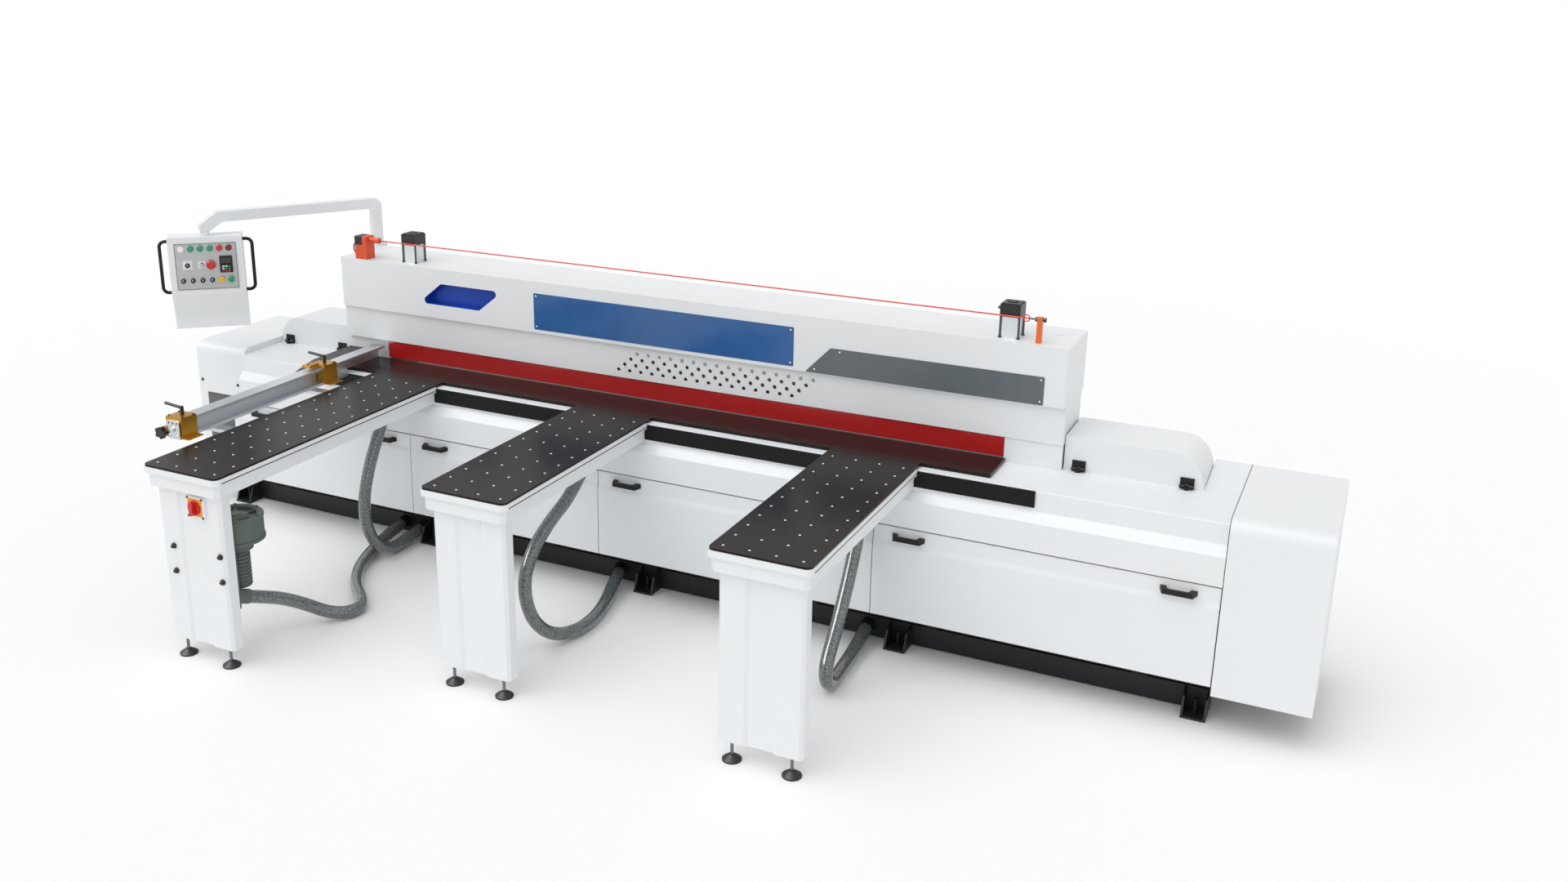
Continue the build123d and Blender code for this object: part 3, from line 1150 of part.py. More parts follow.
# Humps: sheet hoods, rounded at the far end, that tip forward over the saw's parking places
for label, left, right, far in HUMPS:
    with BuildPart() as hump:
        top = DECK_Z + HUMP_H
        first = 0.0 if far > 0 else 90.0
        for inset, mode in ((0.0, Mode.ADD), (THIN, Mode.SUBTRACT)):
            near = left + inset if far > 0 else right - inset
            toe = right - inset if far > 0 else left + inset
            brow = right - HUMP_SLOPE if far > 0 else left + HUMP_SLOPE
            start = Plane(origin=(0, HUMP_Y + inset, 0), x_dir=(1, 0, 0), z_dir=(0, -1, 0))
            with BuildSketch(start, mode=Mode.PRIVATE) as side:
                with BuildLine():
                    Polyline((brow, top - inset), (near, top - inset), (near, DECK_Z), (toe, DECK_Z))
                    EllipticalCenterArc((brow, DECK_Z), HUMP_SLOPE - inset, HUMP_H - inset, first)
                make_face()
            extrude(side.sketch, amount=-(BEAM_BACK - HUMP_Y - 2 * inset), mode=mode)
        for x in (left + HUMP_HINGE_INSET, right - HUMP_HINGE_INSET):
            for edge in (-1, 1):
                near = x + edge * (HINGE_W / 2 + SLIDE_GAP)
                eye_x = sorted((near, near + edge * EYE_W))
                eye_z = (HUMP_PIN[1] - HINGE_R, HUMP_PIN[1] + HINGE_EYE_R)
                slab(eye_x, (HUMP_PIN[0], HUMP_Y + OVER), eye_z)
                hinge_eye(eye_x, HUMP_PIN)
            leaf = HINGE_W / 2 + SLIDE_GAP + EYE_W
            leaf_z = (HUMP_PIN[1] + HINGE_EYE_R - OVER, DECK_Z + LEAF_H)
            slab((x - leaf, x + leaf), (HUMP_Y - LEAF_T, HUMP_Y + OVER), leaf_z)
    keep(hump, label)

# Saw carriage: plate on four shoes, two lift columns and the feed motor
LIFT_Y = SADDLE_Y + SADDLE_T + SLIDE_GAP
SCORE_SADDLE_Y = SAW_Y + SCORE_SADDLE_BACK
SCORE_LIFT_Y = SCORE_SADDLE_Y + SADDLE_T + SLIDE_GAP
with BuildPart() as carriage:
    plate_x = (SAW_X - CARRIAGE_LEFT, SAW_X + CARRIAGE_RIGHT)
    plate_y = (GUIDE_FRONT_Y - CARRIAGE_SIDE, GUIDE_REAR_Y + CARRIAGE_SIDE)
    slab(plate_x, plate_y, (CARRIAGE_Z, CARRIAGE_TOP))
    for x in (plate_x[0] + SHOE_IN, plate_x[1] - SHOE_IN - SHOE_L):
        for centre in (GUIDE_FRONT_Y, GUIDE_REAR_Y):
            shoe_y = (centre - SHOE_W / 2, centre + SHOE_W / 2)
            slab((x, x + SHOE_L), shoe_y, (GUIDE_TOP + SHOE_GAP, CARRIAGE_Z))
            groove = (centre - GUIDE_RAIL / 2 - SLIDE_GAP, centre + GUIDE_RAIL / 2 + SLIDE_GAP)
            slab((x, x + SHOE_L), groove, (GUIDE_TOP, RAIL_TOP + SLIDE_GAP), Mode.SUBTRACT)
    column_x = (SAW_X - SADDLE_LEFT, SAW_X - SADDLE_LEFT + LIFT_W)
    slab(column_x, (LIFT_Y, LIFT_Y + LIFT_W), (CARRIAGE_TOP, UNDER_DECK - LIFT_TOP))
    score_x = SAW_X - SCORE_DX
    column_x = (score_x - SCORE_LIFT_W / 2, score_x + SCORE_LIFT_W / 2)
    column_y = (SCORE_LIFT_Y, SCORE_LIFT_Y + SCORE_LIFT_W)
    slab(column_x, column_y, (CARRIAGE_TOP, UNDER_DECK - SCORE_LIFT_TOP))
    half = FEED_MOTOR_W / 2
    feed_y = (PINION_Y - half, PINION_Y + half)
    slab((PINION_X - half, PINION_X + half), feed_y, (CARRIAGE_TOP, CARRIAGE_TOP + FEED_MOTOR_H))
    pinion_top = CARRIAGE_TOP + PINION_GRIP
    hole = (PINION_X, PINION_Y)
    rod((*hole, CARRIAGE_Z), (*hole, pinion_top + 1.0), PINION_SHAFT_R + RUN_FIT, Mode.SUBTRACT)
keep(carriage, "carriage")

# Feed pinion under the carriage, in mesh with the rack
with BuildPart() as pinion:
    tooth_half = TOOTH_SHARE * PITCH / 2
    outline = []
    for tooth in range(PINION_TEETH):
        turn = -math.pi / 2 + tooth * 2 * math.pi / PINION_TEETH
        root = (PINION_R - DEDENDUM, tooth_half + ROOT_SPREAD)
        tip = (PINION_R + ADDENDUM, tooth_half - TIP_TAPER)
        flanks = ((root[0], -root[1]), (tip[0], -tip[1]), tip, root)
        for radius, across in flanks:
            x = radius * math.cos(turn) - across * math.sin(turn)
            y = radius * math.sin(turn) + across * math.cos(turn)
            outline.append((x, y))
    low = RACK_Z + PINION_INSET
    prism(Plane(origin=(PINION_X, PINION_Y, low)), outline, RACK_H - 2 * PINION_INSET)
    rod((PINION_X, PINION_Y, low), (PINION_X, PINION_Y, pinion_top), PINION_SHAFT_R)
keep(pinion, "feed_pinion")

# Saw unit: saddle with the arbor housing and motor, and the drive belt behind it
MOTOR_X = SAW_X + MOTOR_DX
MOTOR_Z = ARBOR_Z + MOTOR_DZ
SHAFT_END = PULLEY_Y + PULLEY_W + SHAFT_PROUD
with BuildPart() as unit:
    saddle_x = (SAW_X - SADDLE_LEFT, SAW_X + MOTOR_DX + SADDLE_RIGHT)
    saddle_z = (ARBOR_Z - SADDLE_BELOW, ARBOR_Z + SADDLE_ABOVE)
    slab(saddle_x, (SADDLE_Y, SADDLE_Y + SADDLE_T), saddle_z)
    rod((SAW_X, SAW_Y + HOUSING_GAP, ARBOR_Z), (SAW_X, SADDLE_Y, ARBOR_Z), HOUSING_R)
    rod((MOTOR_X, SADDLE_Y - MOTOR_L, MOTOR_Z), (MOTOR_X, SADDLE_Y, MOTOR_Z), MOTOR_R)
    rod((SAW_X, SAW_Y, ARBOR_Z), (SAW_X, SHAFT_END, ARBOR_Z), ARBOR_R + RUN_FIT, Mode.SUBTRACT)
    motor_bore = SADDLE_Y - MOTOR_BORE
    motor_axis = ((MOTOR_X, motor_bore, MOTOR_Z), (MOTOR_X, SHAFT_END, MOTOR_Z))
    rod(*motor_axis, MOTOR_SHAFT_R + RUN_FIT, Mode.SUBTRACT)
    belt_plane = Plane(origin=(0, PULLEY_Y + BELT_INSET, 0), x_dir=(1, 0, 0), z_dir=(0, -1, 0))
    for grow, mode in ((BELT_GAP + BELT_T, Mode.ADD), (BELT_GAP, Mode.SUBTRACT)):
        with BuildSketch(belt_plane, mode=Mode.PRIVATE) as loop:
            with Locations((SAW_X, ARBOR_Z)):
                Circle(PULLEY_R + grow)
            with Locations((MOTOR_X, MOTOR_Z)):
                Circle(MOTOR_PULLEY_R + grow)
            make_hull()
        extrude(loop.sketch, amount=-(PULLEY_W - 2 * BELT_INSET), mode=mode)
keep(unit, "saw_unit")


def blade_outline(radius, teeth, gullet):
    """Tooth tips and gullets of a circular saw blade."""
    points = []
    for tooth in range(teeth):
        corners = ((radius, 0.0), (radius - TOOTH_DROP, TOOTH_LAND), (radius - gullet, TOOTH_ROOT))
        for reach, share in corners:
            turn = 2 * math.pi * (tooth + share) / teeth
            points.append((reach * math.cos(turn), reach * math.sin(turn)))
    return points


def spindle(x, z, radius, teeth, gullet, shaft_r, end, label, pulley_r=0.0):
    """A blade on its arbor, with clamp flanges and, where it is belt driven, a pulley."""
    with BuildPart() as blade:
        face = Plane(origin=(x, SAW_Y + BLADE_T / 2, z), x_dir=(1, 0, 0), z_dir=(0, -1, 0))
        prism(face, blade_outline(radius, teeth, gullet), BLADE_T)
        rod((x, SAW_Y - SHAFT_NOSE, z), (x, end, z), shaft_r)
        rod((x, SAW_Y - FLANGE_HALF, z), (x, SAW_Y + FLANGE_HALF, z), shaft_r * FLANGE_RATIO)
        if pulley_r:
            rod((x, PULLEY_Y, z), (x, PULLEY_Y + PULLEY_W, z), pulley_r)
    keep(blade, label)


spindle(SAW_X, ARBOR_Z, BLADE_R, BLADE_TEETH, GULLET, ARBOR_R, SHAFT_END, "main_blade", PULLEY_R)
spindle(
    score_x, SCORE_Z, SCORE_R, SCORE_TEETH, SCORE_GULLET, SCORE_ARBOR_R, SCORE_SADDLE_Y, "scoring_blade")

with BuildPart() as motor_pulley:
    rod((MOTOR_X, motor_bore + SHAFT_PROUD, MOTOR_Z), (MOTOR_X, SHAFT_END, MOTOR_Z), MOTOR_SHAFT_R)
    rod((MOTOR_X, PULLEY_Y, MOTOR_Z), (MOTOR_X, PULLEY_Y + PULLEY_W, MOTOR_Z), MOTOR_PULLEY_R)
keep(motor_pulley, "motor_pulley")

with BuildPart() as scoring:
    rod((score_x, SAW_Y + HOUSING_GAP, SCORE_Z), (score_x, SCORE_SADDLE_Y, SCORE_Z), SCORE_HOUSING_R)
    saddle_x = (score_x - SCORE_SADDLE_W / 2, score_x + SCORE_SADDLE_W / 2)
    saddle_z = (SCORE_Z - SCORE_SADDLE_BELOW, SCORE_Z + SCORE_SADDLE_ABOVE)
    slab(saddle_x, (SCORE_SADDLE_Y, SCORE_SADDLE_Y + SADDLE_T), saddle_z)
    bore_end = SCORE_SADDLE_Y + SHAFT_PROUD
    rod((score_x, SAW_Y, SCORE_Z), (score_x, bore_end, SCORE_Z), SCORE_ARBOR_R + RUN_FIT, Mode.SUBTRACT)
keep(scoring, "scoring_unit")

# Pendant: directions across and out of its face, and the face's plane
yaw = math.radians(PENDANT_YAW)
ACROSS = Vector(math.cos(yaw), math.sin(yaw), 0)
OUT = Vector(math.sin(yaw), -math.cos(yaw), 0)
FACE_TOP = Vector(STUB_X, STUB_Y, PENDANT_TOP) + OUT * PENDANT_FRONT
FACE = Plane(origin=FACE_TOP, x_dir=ACROSS, z_dir=OUT)


def on_panel(column, row):
    """Place on the face for a distance from the panel's left edge and one below its top."""
    return (column - PANEL_W / 2, -PANEL_DROP - row)


def on_face(x, y, z):
    """A point given across, up and out of the face."""
    return tuple(FACE.from_local_coords((x, y, z)))


PUSH_BUTTONS = {
    "green_button_1": (COLUMNS[1], ROWS[0]),
    "green_button_2": (COLUMNS[2], ROWS[0]),
    "green_button_3": (COLUMNS[3], ROWS[0]),
    "red_button": (COLUMNS[4], ROWS[0]),
    "dark_red_button": (COLUMNS[5], ROWS[0]),
    "yellow_button": (COLUMNS[4], ROWS[2]),
    "green_button_4": (COLUMNS[5], ROWS[2]),
}
SELECTORS = {
    "mode_selector": (MODE_X, ROWS[1]),
    "selector_1": (COLUMNS[0], ROWS[2]),
    "selector_2": (COLUMNS[1], ROWS[2]),
    "selector_3": (COLUMNS[2], ROWS[2]),
    "selector_4": (COLUMNS[3], ROWS[2]),
}
SPEED_PLACE = (SPEED_X, ROWS[1])
MUSHROOM_PLACE = (COLUMNS[3], ROWS[1])
PANEL_FACE = PART_LINE + PANEL_T

# Swivel arm: upright, boom and slanted end in one mitred tube, and the stub that carries the pendant
with BuildPart() as arm:
    boom = Vector(STUB_X - SWIVEL_X, STUB_Y - SWIVEL_Y, 0)
    half = ARM_TUBE / 2
    reach = boom.length
    low = ARM_TOP - ARM_TUBE
    elbow = PENDANT_TOP + STUB_L
    across = boom.normalized().cross(Vector(0, 0, 1))
    plane = Plane(origin=(SWIVEL_X, SWIVEL_Y, 0), x_dir=boom, z_dir=across)
    side = (
        (-half, ARM_FOOT), (-half, ARM_TOP - half), (0, ARM_TOP), (reach - half * ARM_MITRE_OUT, ARM_TOP),
        (reach + half, elbow + ARM_NECK), (reach + half, elbow), (reach - half, elbow),
        (reach - half * ARM_MITRE_IN, low), (half, low), (half, ARM_FOOT))
    prism(plane.offset(-half), side, ARM_TUBE)
    rod((STUB_X, STUB_Y, PENDANT_TOP), (STUB_X, STUB_Y, elbow), STUB_R)
keep(arm, "pendant_arm")

# Pendant box: folded housing, panel with its holes, lamp, counter and two grips
with BuildPart() as pendant:
    back = -PENDANT_D
    for inset, mode in ((0.0, Mode.ADD), (PENDANT_WALL, Mode.SUBTRACT)):
        edge = Plane(origin=on_face(PENDANT_W / 2 - inset, 0, 0), x_dir=OUT, z_dir=-ACROSS)
        skirt = -FACE_H - SLOPE_H - SKIRT_H
        outline = (
            (-inset, -inset), (-inset, -FACE_H), (-SLOPE_D - inset, -FACE_H - SLOPE_H),
            (-SLOPE_D - inset, skirt + inset), (back + inset, skirt + inset), (back + inset, -inset))
        prism(edge, outline, PENDANT_W - 2 * inset, mode)
    foot = on_face(0, skirt - OVER, back + GLAND_IN)
    rod(foot, (*foot[:2], foot[2] + PENDANT_WALL + 2 * OVER), GLAND_R, Mode.SUBTRACT)
    with BuildSketch(FACE.offset(PART_LINE), mode=Mode.PRIVATE) as panel:
        with Locations((0, -PANEL_DROP - PANEL_H / 2)):
            RectangleRounded(PANEL_W, PANEL_H, PANEL_R)
    extrude(panel.sketch, amount=PANEL_T)
    holes = [(place, BUTTON_R) for place in PUSH_BUTTONS.values()]
    holes += [(place, KNOB_STEM_R) for place in (*SELECTORS.values(), SPEED_PLACE)]
    holes.append((MUSHROOM_PLACE, MUSHROOM_STEM_R))
    for place, radius in holes:
        spot = on_panel(*place)
        behind = on_face(*spot, -PENDANT_WALL - OVER)
        rod(behind, on_face(*spot, PANEL_FACE + OVER), radius + SLIDE_GAP, Mode.SUBTRACT)
    lamp = on_panel(COLUMNS[0], ROWS[0])
    rod(on_face(*lamp, PANEL_FACE - OVER), on_face(*lamp, LAMP_OUT), BUTTON_R)
    with BuildSketch(FACE.offset(PANEL_FACE - OVER), mode=Mode.PRIVATE) as counter:
        with Locations(on_panel(COUNTER_X, ROWS[1])):
            RectangleRounded(COUNTER_W, COUNTER_H, COUNTER_R)
    extrude(counter.sketch, amount=COUNTER_T)
    for side in (-1, 1):
        near = side * (PENDANT_W / 2 + PART_LINE)
        bar = side * (PENDANT_W / 2 + GRIP_REACH - GRIP_R)
        upper, lower = -GRIP_TOP, -GRIP_TOP - GRIP_H
        corners = ((near, upper), (bar, upper), (bar, lower), (near, lower))
        points = [on_face(*corner, GRIP_DEPTH) for corner in corners]
        with BuildLine(mode=Mode.PRIVATE) as bow:
            FilletPolyline(*points, radius=GRIP_BEND)
        start = Plane(origin=points[0], z_dir=Vector(*points[1]) - Vector(*points[0]))
        with BuildSketch(start, mode=Mode.PRIVATE) as section:
            Circle(GRIP_R)
        sweep(section.sketch, path=bow.line)
keep(pendant, "pendant_box")

# Push buttons, each through the panel
for label, place in PUSH_BUTTONS.items():
    with BuildPart() as button:
        spot = on_panel(*place)
        rod(on_face(*spot, -BUTTON_IN), on_face(*spot, BUTTON_OUT), BUTTON_R)
    keep(button, label)

# Turning knobs: a stem through the panel under a disc, with a bar on the selectors
for label, place in (*SELECTORS.items(), ("speed_knob", SPEED_PLACE)):
    with BuildPart() as knob:
        spot = on_panel(*place)
        seat = PANEL_FACE + KNOB_GAP
        rod(on_face(*spot, -BUTTON_IN), on_face(*spot, seat + OVER), KNOB_STEM_R)
        if label == "speed_knob":
            rod(on_face(*spot, seat), on_face(*spot, seat + SPEED_H), SPEED_R)
        else:
            rod(on_face(*spot, seat), on_face(*spot, seat + KNOB_H), KNOB_R)
            with BuildSketch(FACE.offset(seat + KNOB_H), mode=Mode.PRIVATE) as bar:
                with Locations(spot):
                    SlotOverall(2 * KNOB_R, KNOB_BAR, rotation=90)
            extrude(bar.sketch, amount=KNOB_H)
    keep(knob, label)

# Emergency stop mushroom
with BuildPart() as mushroom:
    spot = on_panel(*MUSHROOM_PLACE)
    rod(on_face(*spot, -BUTTON_IN), on_face(*spot, MUSHROOM_LIFT), MUSHROOM_STEM_R)
    rod(on_face(*spot, MUSHROOM_LIFT), on_face(*spot, MUSHROOM_LIFT + MUSHROOM_H), MUSHROOM_R)
    crown = mushroom.edges().filter_by(GeomType.CIRCLE).sort_by(lambda edge: edge.center().dot(OUT))[-1]
    fillet(crown, MUSHROOM_CROWN)
keep(mushroom, "emergency_button")
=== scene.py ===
# %% [markdown]
# # A CNC beam saw
# This lesson dresses a machine whose solid parts come from a CAD model. The CAD parts are loaded first
# and stay where they are; everything that follows gives them a finish or adds a small piece to them.

# %% Load the machine
import math

import bmesh
import bpy
from mathutils import Matrix, Vector


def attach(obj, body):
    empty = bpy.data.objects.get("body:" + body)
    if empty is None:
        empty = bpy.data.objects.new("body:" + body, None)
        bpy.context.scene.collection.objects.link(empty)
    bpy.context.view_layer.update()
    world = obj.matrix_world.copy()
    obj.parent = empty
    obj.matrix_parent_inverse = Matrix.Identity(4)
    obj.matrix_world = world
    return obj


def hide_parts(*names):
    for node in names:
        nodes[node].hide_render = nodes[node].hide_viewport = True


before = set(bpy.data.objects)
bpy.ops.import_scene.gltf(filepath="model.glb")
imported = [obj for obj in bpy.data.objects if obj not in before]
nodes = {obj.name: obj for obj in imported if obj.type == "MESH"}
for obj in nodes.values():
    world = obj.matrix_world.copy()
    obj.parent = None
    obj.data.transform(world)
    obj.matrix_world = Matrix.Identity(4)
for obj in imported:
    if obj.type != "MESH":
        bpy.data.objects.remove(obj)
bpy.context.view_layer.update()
MM, MM_IN_M = 0.001, 1000.0

# %% [markdown]
# ## The camera
# The photograph was taken from the operator's right, a little above the table. The camera below stands at
# the same place. The lens is shifted, because the machine isn't in the middle of the photographed frame.

# %% Camera
CAMERA_PLACE = (2.7908, -4.7005, 2.8107)
CAMERA_TURN = (73.148, -0.342, 26.623)
LENS, SHIFT_X, SHIFT_Y = 32.709, 0.0465, -0.0420
view = bpy.data.cameras.new("camera")
view.lens = LENS
view.shift_x = SHIFT_X
view.shift_y = SHIFT_Y
camera = bpy.data.objects.new("camera", view)
camera.location = CAMERA_PLACE
camera.rotation_euler = [math.radians(angle) for angle in CAMERA_TURN]
bpy.context.collection.objects.link(camera)
bpy.context.scene.camera = camera
bpy.context.scene.view_settings.view_transform = "Standard"
print("camera at", CAMERA_PLACE)

# %% [markdown]
# ## Colours and nodes
# Colours are written as the hex values that a colour picker shows. Shaders work in linear light, so one
# function converts them. A second one adds a node to a material, sets it up and links it.

# %% Colour and node helpers
# A Mix node keeps sockets for numbers and for colours side by side, so they are picked by place.
COLOUR_A, COLOUR_B, COLOUR_OUT = 6, 7, 2


def linear(code):
    """A linear colour with alpha from a hex code such as "E8E8E6", by the standard sRGB curve."""
    channels = [int(code[place:place + 2], 16) / 255 for place in (0, 2, 4)]
    curved = [c / 12.92 if c <= 0.04045 else ((c + 0.055) / 1.055) ** 2.4 for c in channels]
    return (*curved, 1.0)


def add(tree, kind, values=None, links=None, **settings):
    """One node with its settings, input values and links."""
    node = tree.nodes.new(kind)
    for name, value in settings.items():
        setattr(node, name, value)
    for name, value in (values or {}).items():
        node.inputs[name].default_value = value
    for name, source in (links or {}).items():
        tree.links.new(source, node.inputs[name])
    return node


def blank(name):
    """An empty material with a principled shader: its tree and its shader."""
    material = bpy.data.materials.new(name)
    material.use_nodes = True
    tree = material.node_tree
    tree.nodes.clear()
    shader = add(tree, "ShaderNodeBsdfPrincipled")
    add(tree, "ShaderNodeOutputMaterial", links={"Surface": shader.outputs["BSDF"]})
    return material, tree, shader


print("helpers ready")

# %% [markdown]
# ## The suction hoses
# Four hoses carry air from the blower to the hollow tables. Each is soft clear PVC over a fine wire helix, so
# its outline is smooth, and it glitters a little: that glitter is painted into its colour as bright glints. A
# NURBS curve through the route gives the smooth line, and its round bevel gives the wall. The helix is a
# faint stripe along the curve's own UV map.

# %% Hose material
HOSE_R = 28.0
RING_PITCH = 9.0            # real pitch is about 5 mm, drawn coarser so that the helix shows
# The glints are painted highlights: bright spots of noise in the wall's colour.
PAINTED_GLINT = 4.0                 # size of the glints in the wall
HELIX_SHARE = 0.07          # how far the helix moves the tone, beside the glints
TONE_FROM, TONE_TO = 0.36, 0.80
# The guide line: its place round the hose, half its width, and how strong it is.
GUIDE_AT, GUIDE_HALF, GUIDE_SHARE = 0.62, 0.02, 0.55
PVC_IOR = 1.53


def hose_pvc(length):
    """Clear PVC over a wire helix: grey, wet-looking, with fine glints painted into its colour and one red
    guide line.
    """
    material, tree, shader = blank("clear_pvc_hose")
    along = add(tree, "ShaderNodeTexCoord").outputs["UV"]
    rings = add(
        tree, "ShaderNodeMapping", {"Scale": (length / (RING_PITCH * MM), 1.0, 1.0)}, {"Vector": along})
    parts = add(tree, "ShaderNodeSeparateXYZ", links={"Vector": rings.outputs[0]})
    helix = add(
        tree, "ShaderNodeMath", None, {0: parts.outputs["X"], 1: parts.outputs["Y"]}, operation="ADD")
    wave = add(tree, "ShaderNodeMath", {1: 1.0}, {0: helix.outputs[0]}, operation="PINGPONG")
    place = add(tree, "ShaderNodeTexCoord").outputs["Object"]
    # Noise paints bright glints into the colour: painted highlights of the wire helix.
    painted_glints = add(
        tree, "ShaderNodeTexNoise", {"Scale": MM_IN_M / PAINTED_GLINT, "Detail": 2.0}, {"Vector": place})
    mixed = add(
        tree, "ShaderNodeMath", {1: HELIX_SHARE}, {0: wave.outputs[0], 2: painted_glints.outputs[0]},
        operation="MULTIPLY_ADD")
    tone = add(
        tree, "ShaderNodeMapRange", {"From Min": TONE_FROM, "From Max": TONE_TO},
        {"Value": mixed.outputs[0]})
    colour = add(
        tree, "ShaderNodeMix", {COLOUR_A: linear("252B2D"), COLOUR_B: linear("949A9C")}, {0: tone.outputs[0]},
        data_type="RGBA")
    side = add(
        tree, "ShaderNodeMath", {1: GUIDE_AT, 2: GUIDE_HALF}, {0: parts.outputs["Y"]}, operation="COMPARE")
    faint = add(tree, "ShaderNodeMath", {1: GUIDE_SHARE}, {0: side.outputs[0]}, operation="MULTIPLY")
    lined = add(
        tree, "ShaderNodeMix", {COLOUR_B: linear("7A4550")},
        {0: faint.outputs[0], COLOUR_A: colour.outputs[COLOUR_OUT]}, data_type="RGBA")
    tree.links.new(lined.outputs[COLOUR_OUT], shader.inputs["Base Color"])
    relief = add(tree, "ShaderNodeBump", {"Strength": 0.10, "Distance": MM}, {"Height": mixed.outputs[0]})
    tree.links.new(relief.outputs[0], shader.inputs["Normal"])
    shader.inputs["Roughness"].default_value = 0.16
    shader.inputs["IOR"].default_value = PVC_IOR
    shader.inputs["Coat Weight"].default_value = 0.7
    shader.inputs["Coat Roughness"].default_value = 0.1
    return material


print("hoses are", 2 * HOSE_R, "mm across")

# %% [markdown]
# ## The routes of the hoses
# A hose hangs in a bow from its collar, lies on the floor and goes into the body. A modelled tube would need
# every ring placed. A curve needs only a few points along the route, here in millimetres, and each hose gives
# its length, which spaces the turns of its helix.

# %% Hoses
ALONG_STEPS, ROUND_STEPS = 14, 6
HOSES = {
    "middle_hose": (1.66, (
        (-251, 230, 728), (-248, 110, 588), (-240, -150, 508), (-238, -290, 408),
        (-235, -325, 288), (-225, -285, 148), (-190, -200, 52), (-140, -90, 32),
        (-135, 50, 31), (-170, 205, 32), (-218, 345, 42), (-248, 455, 56))),
    "right_hose": (1.29, (
        (962, 318, 716), (962, 298, 560), (965, 225, 440), (968, 140, 325),
        (972, 55, 232), (977, -15, 178), (982, -68, 125), (984, -62, 66),
        (983, -18, 31), (980, 55, 31), (974, 150, 32), (966, 268, 34),
        (958, 370, 42), (952, 455, 52))),
    "left_hose": (1.03, (
        (-1370, 255, 735), (-1371, 190, 625), (-1370, 113, 496), (-1369, 58, 350),
        (-1369, 62, 210), (-1371, 125, 95), (-1373, 225, 36), (-1375, 340, 33),
        (-1378, 455, 50))),
    "blower_hose": (1.43, (
        (-1277, -784, 240), (-1256, -692, 203), (-1248, -600, 155), (-1222, -513, 98),
        (-1172, -448, 46), (-1115, -395, 31), (-1095, -320, 31), (-1150, -250, 31),
        (-1258, -163, 31), (-1352, -40, 31), (-1415, 90, 32), (-1455, 222, 36),
        (-1480, 345, 46), (-1490, 455, 54))),
}
for node, (length, route) in HOSES.items():
    line = bpy.data.curves.new(node + "_pvc", "CURVE")
    line.dimensions = "3D"
    spline = line.splines.new("NURBS")
    spline.points.add(len(route) - 1)
    for point, place in zip(spline.points, route):
        point.co = (*(value * MM for value in place), 1.0)
    spline.order_u = 3
    spline.use_endpoint_u = True
    spline.resolution_u = ALONG_STEPS
    line.bevel_depth = HOSE_R * MM
    line.bevel_resolution = ROUND_STEPS
    hose = bpy.data.objects.new(node + "_pvc", line)
    bpy.context.collection.objects.link(hose)
    line.materials.append(hose_pvc(length))
    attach(hose, "machine")
    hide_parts(node)
    start = [value * MM for value in route[0]]
    print(hose.name, "through", len(route), "points")

# %% [markdown]
# ## Floor
# The machine stands on a pale studio floor that keeps its shadow. A backdrop with a bend could close the
# view. One flat sheet that turns into plain white far out is simpler, and it shows no edge.

# %% Floor
FLOOR_SIZE = 120.0
PLAIN_FROM, PLAIN_TO = 5.0, 9.0
bm = bmesh.new()
bmesh.ops.create_grid(bm, x_segments=1, y_segments=1, size=FLOOR_SIZE / 2)
mesh = bpy.data.meshes.new("floor")
bm.to_mesh(mesh)
bm.free()
floor = bpy.data.objects.new("floor", mesh)
bpy.context.collection.objects.link(floor)
material, tree, shader = blank("pale_studio_floor")
shader.inputs["Base Color"].default_value = linear("FCFCFC")
shader.inputs["Roughness"].default_value = 0.7
shader.inputs["Specular IOR Level"].default_value = 0.2
place = add(tree, "ShaderNodeTexCoord").outputs["Object"]
far = add(tree, "ShaderNodeVectorMath", None, {0: place}, operation="LENGTH").outputs["Value"]
share = add(
    tree, "ShaderNodeMapRange", {"From Min": PLAIN_FROM, "From Max": PLAIN_TO}, {"Value": far},
    interpolation_type="SMOOTHSTEP").outputs[0]
glow = add(tree, "ShaderNodeEmission", {"Color": linear("FFFFFF"), "Strength": 1.0})
both = add(
    tree, "ShaderNodeMixShader", None, {0: share, 1: shader.outputs[0], 2: glow.outputs[0]})
tree.links.new(both.outputs[0], tree.nodes["Material Output"].inputs["Surface"])
mesh.materials.append(material)
print("floor", FLOOR_SIZE, "m wide")

# %% [markdown]
# ## Light
# A white machine on a white ground needs soft light that still tells its faces apart. Area lamps would
# leave the far floor dark, so three suns with very wide discs are used: they are soft, and as strong at
# the back of the floor as at the front. The low one lights the faces under an overhang. Together with
# the sky they light an upward face at a level of about 1, at which a colour renders as it is written.
# High on the left the sky holds a bright softbox that only glossy surfaces see: it draws the bright
# line along each hose.

# %% Suns and sky
# Each sun has the direction that it stands in, the width of its disc in degrees, and its strength.
SUNS = {
    "key": ((-0.35, -0.62, 1.30), 60.0, 1.05),
    "fill": ((0.80, -0.35, 0.75), 80.0, 0.20),
    "front": ((-0.10, -1.00, 0.10), 100.0, 0.20),
}
for name, (direction, disc, strength) in SUNS.items():
    lamp = bpy.data.lights.new(name, "SUN")
    lamp.angle = math.radians(disc)
    lamp.energy = strength
    holder = bpy.data.objects.new(name, lamp)
    holder.rotation_euler = Vector(direction).to_track_quat("Z", "Y").to_euler()
    bpy.context.collection.objects.link(holder)

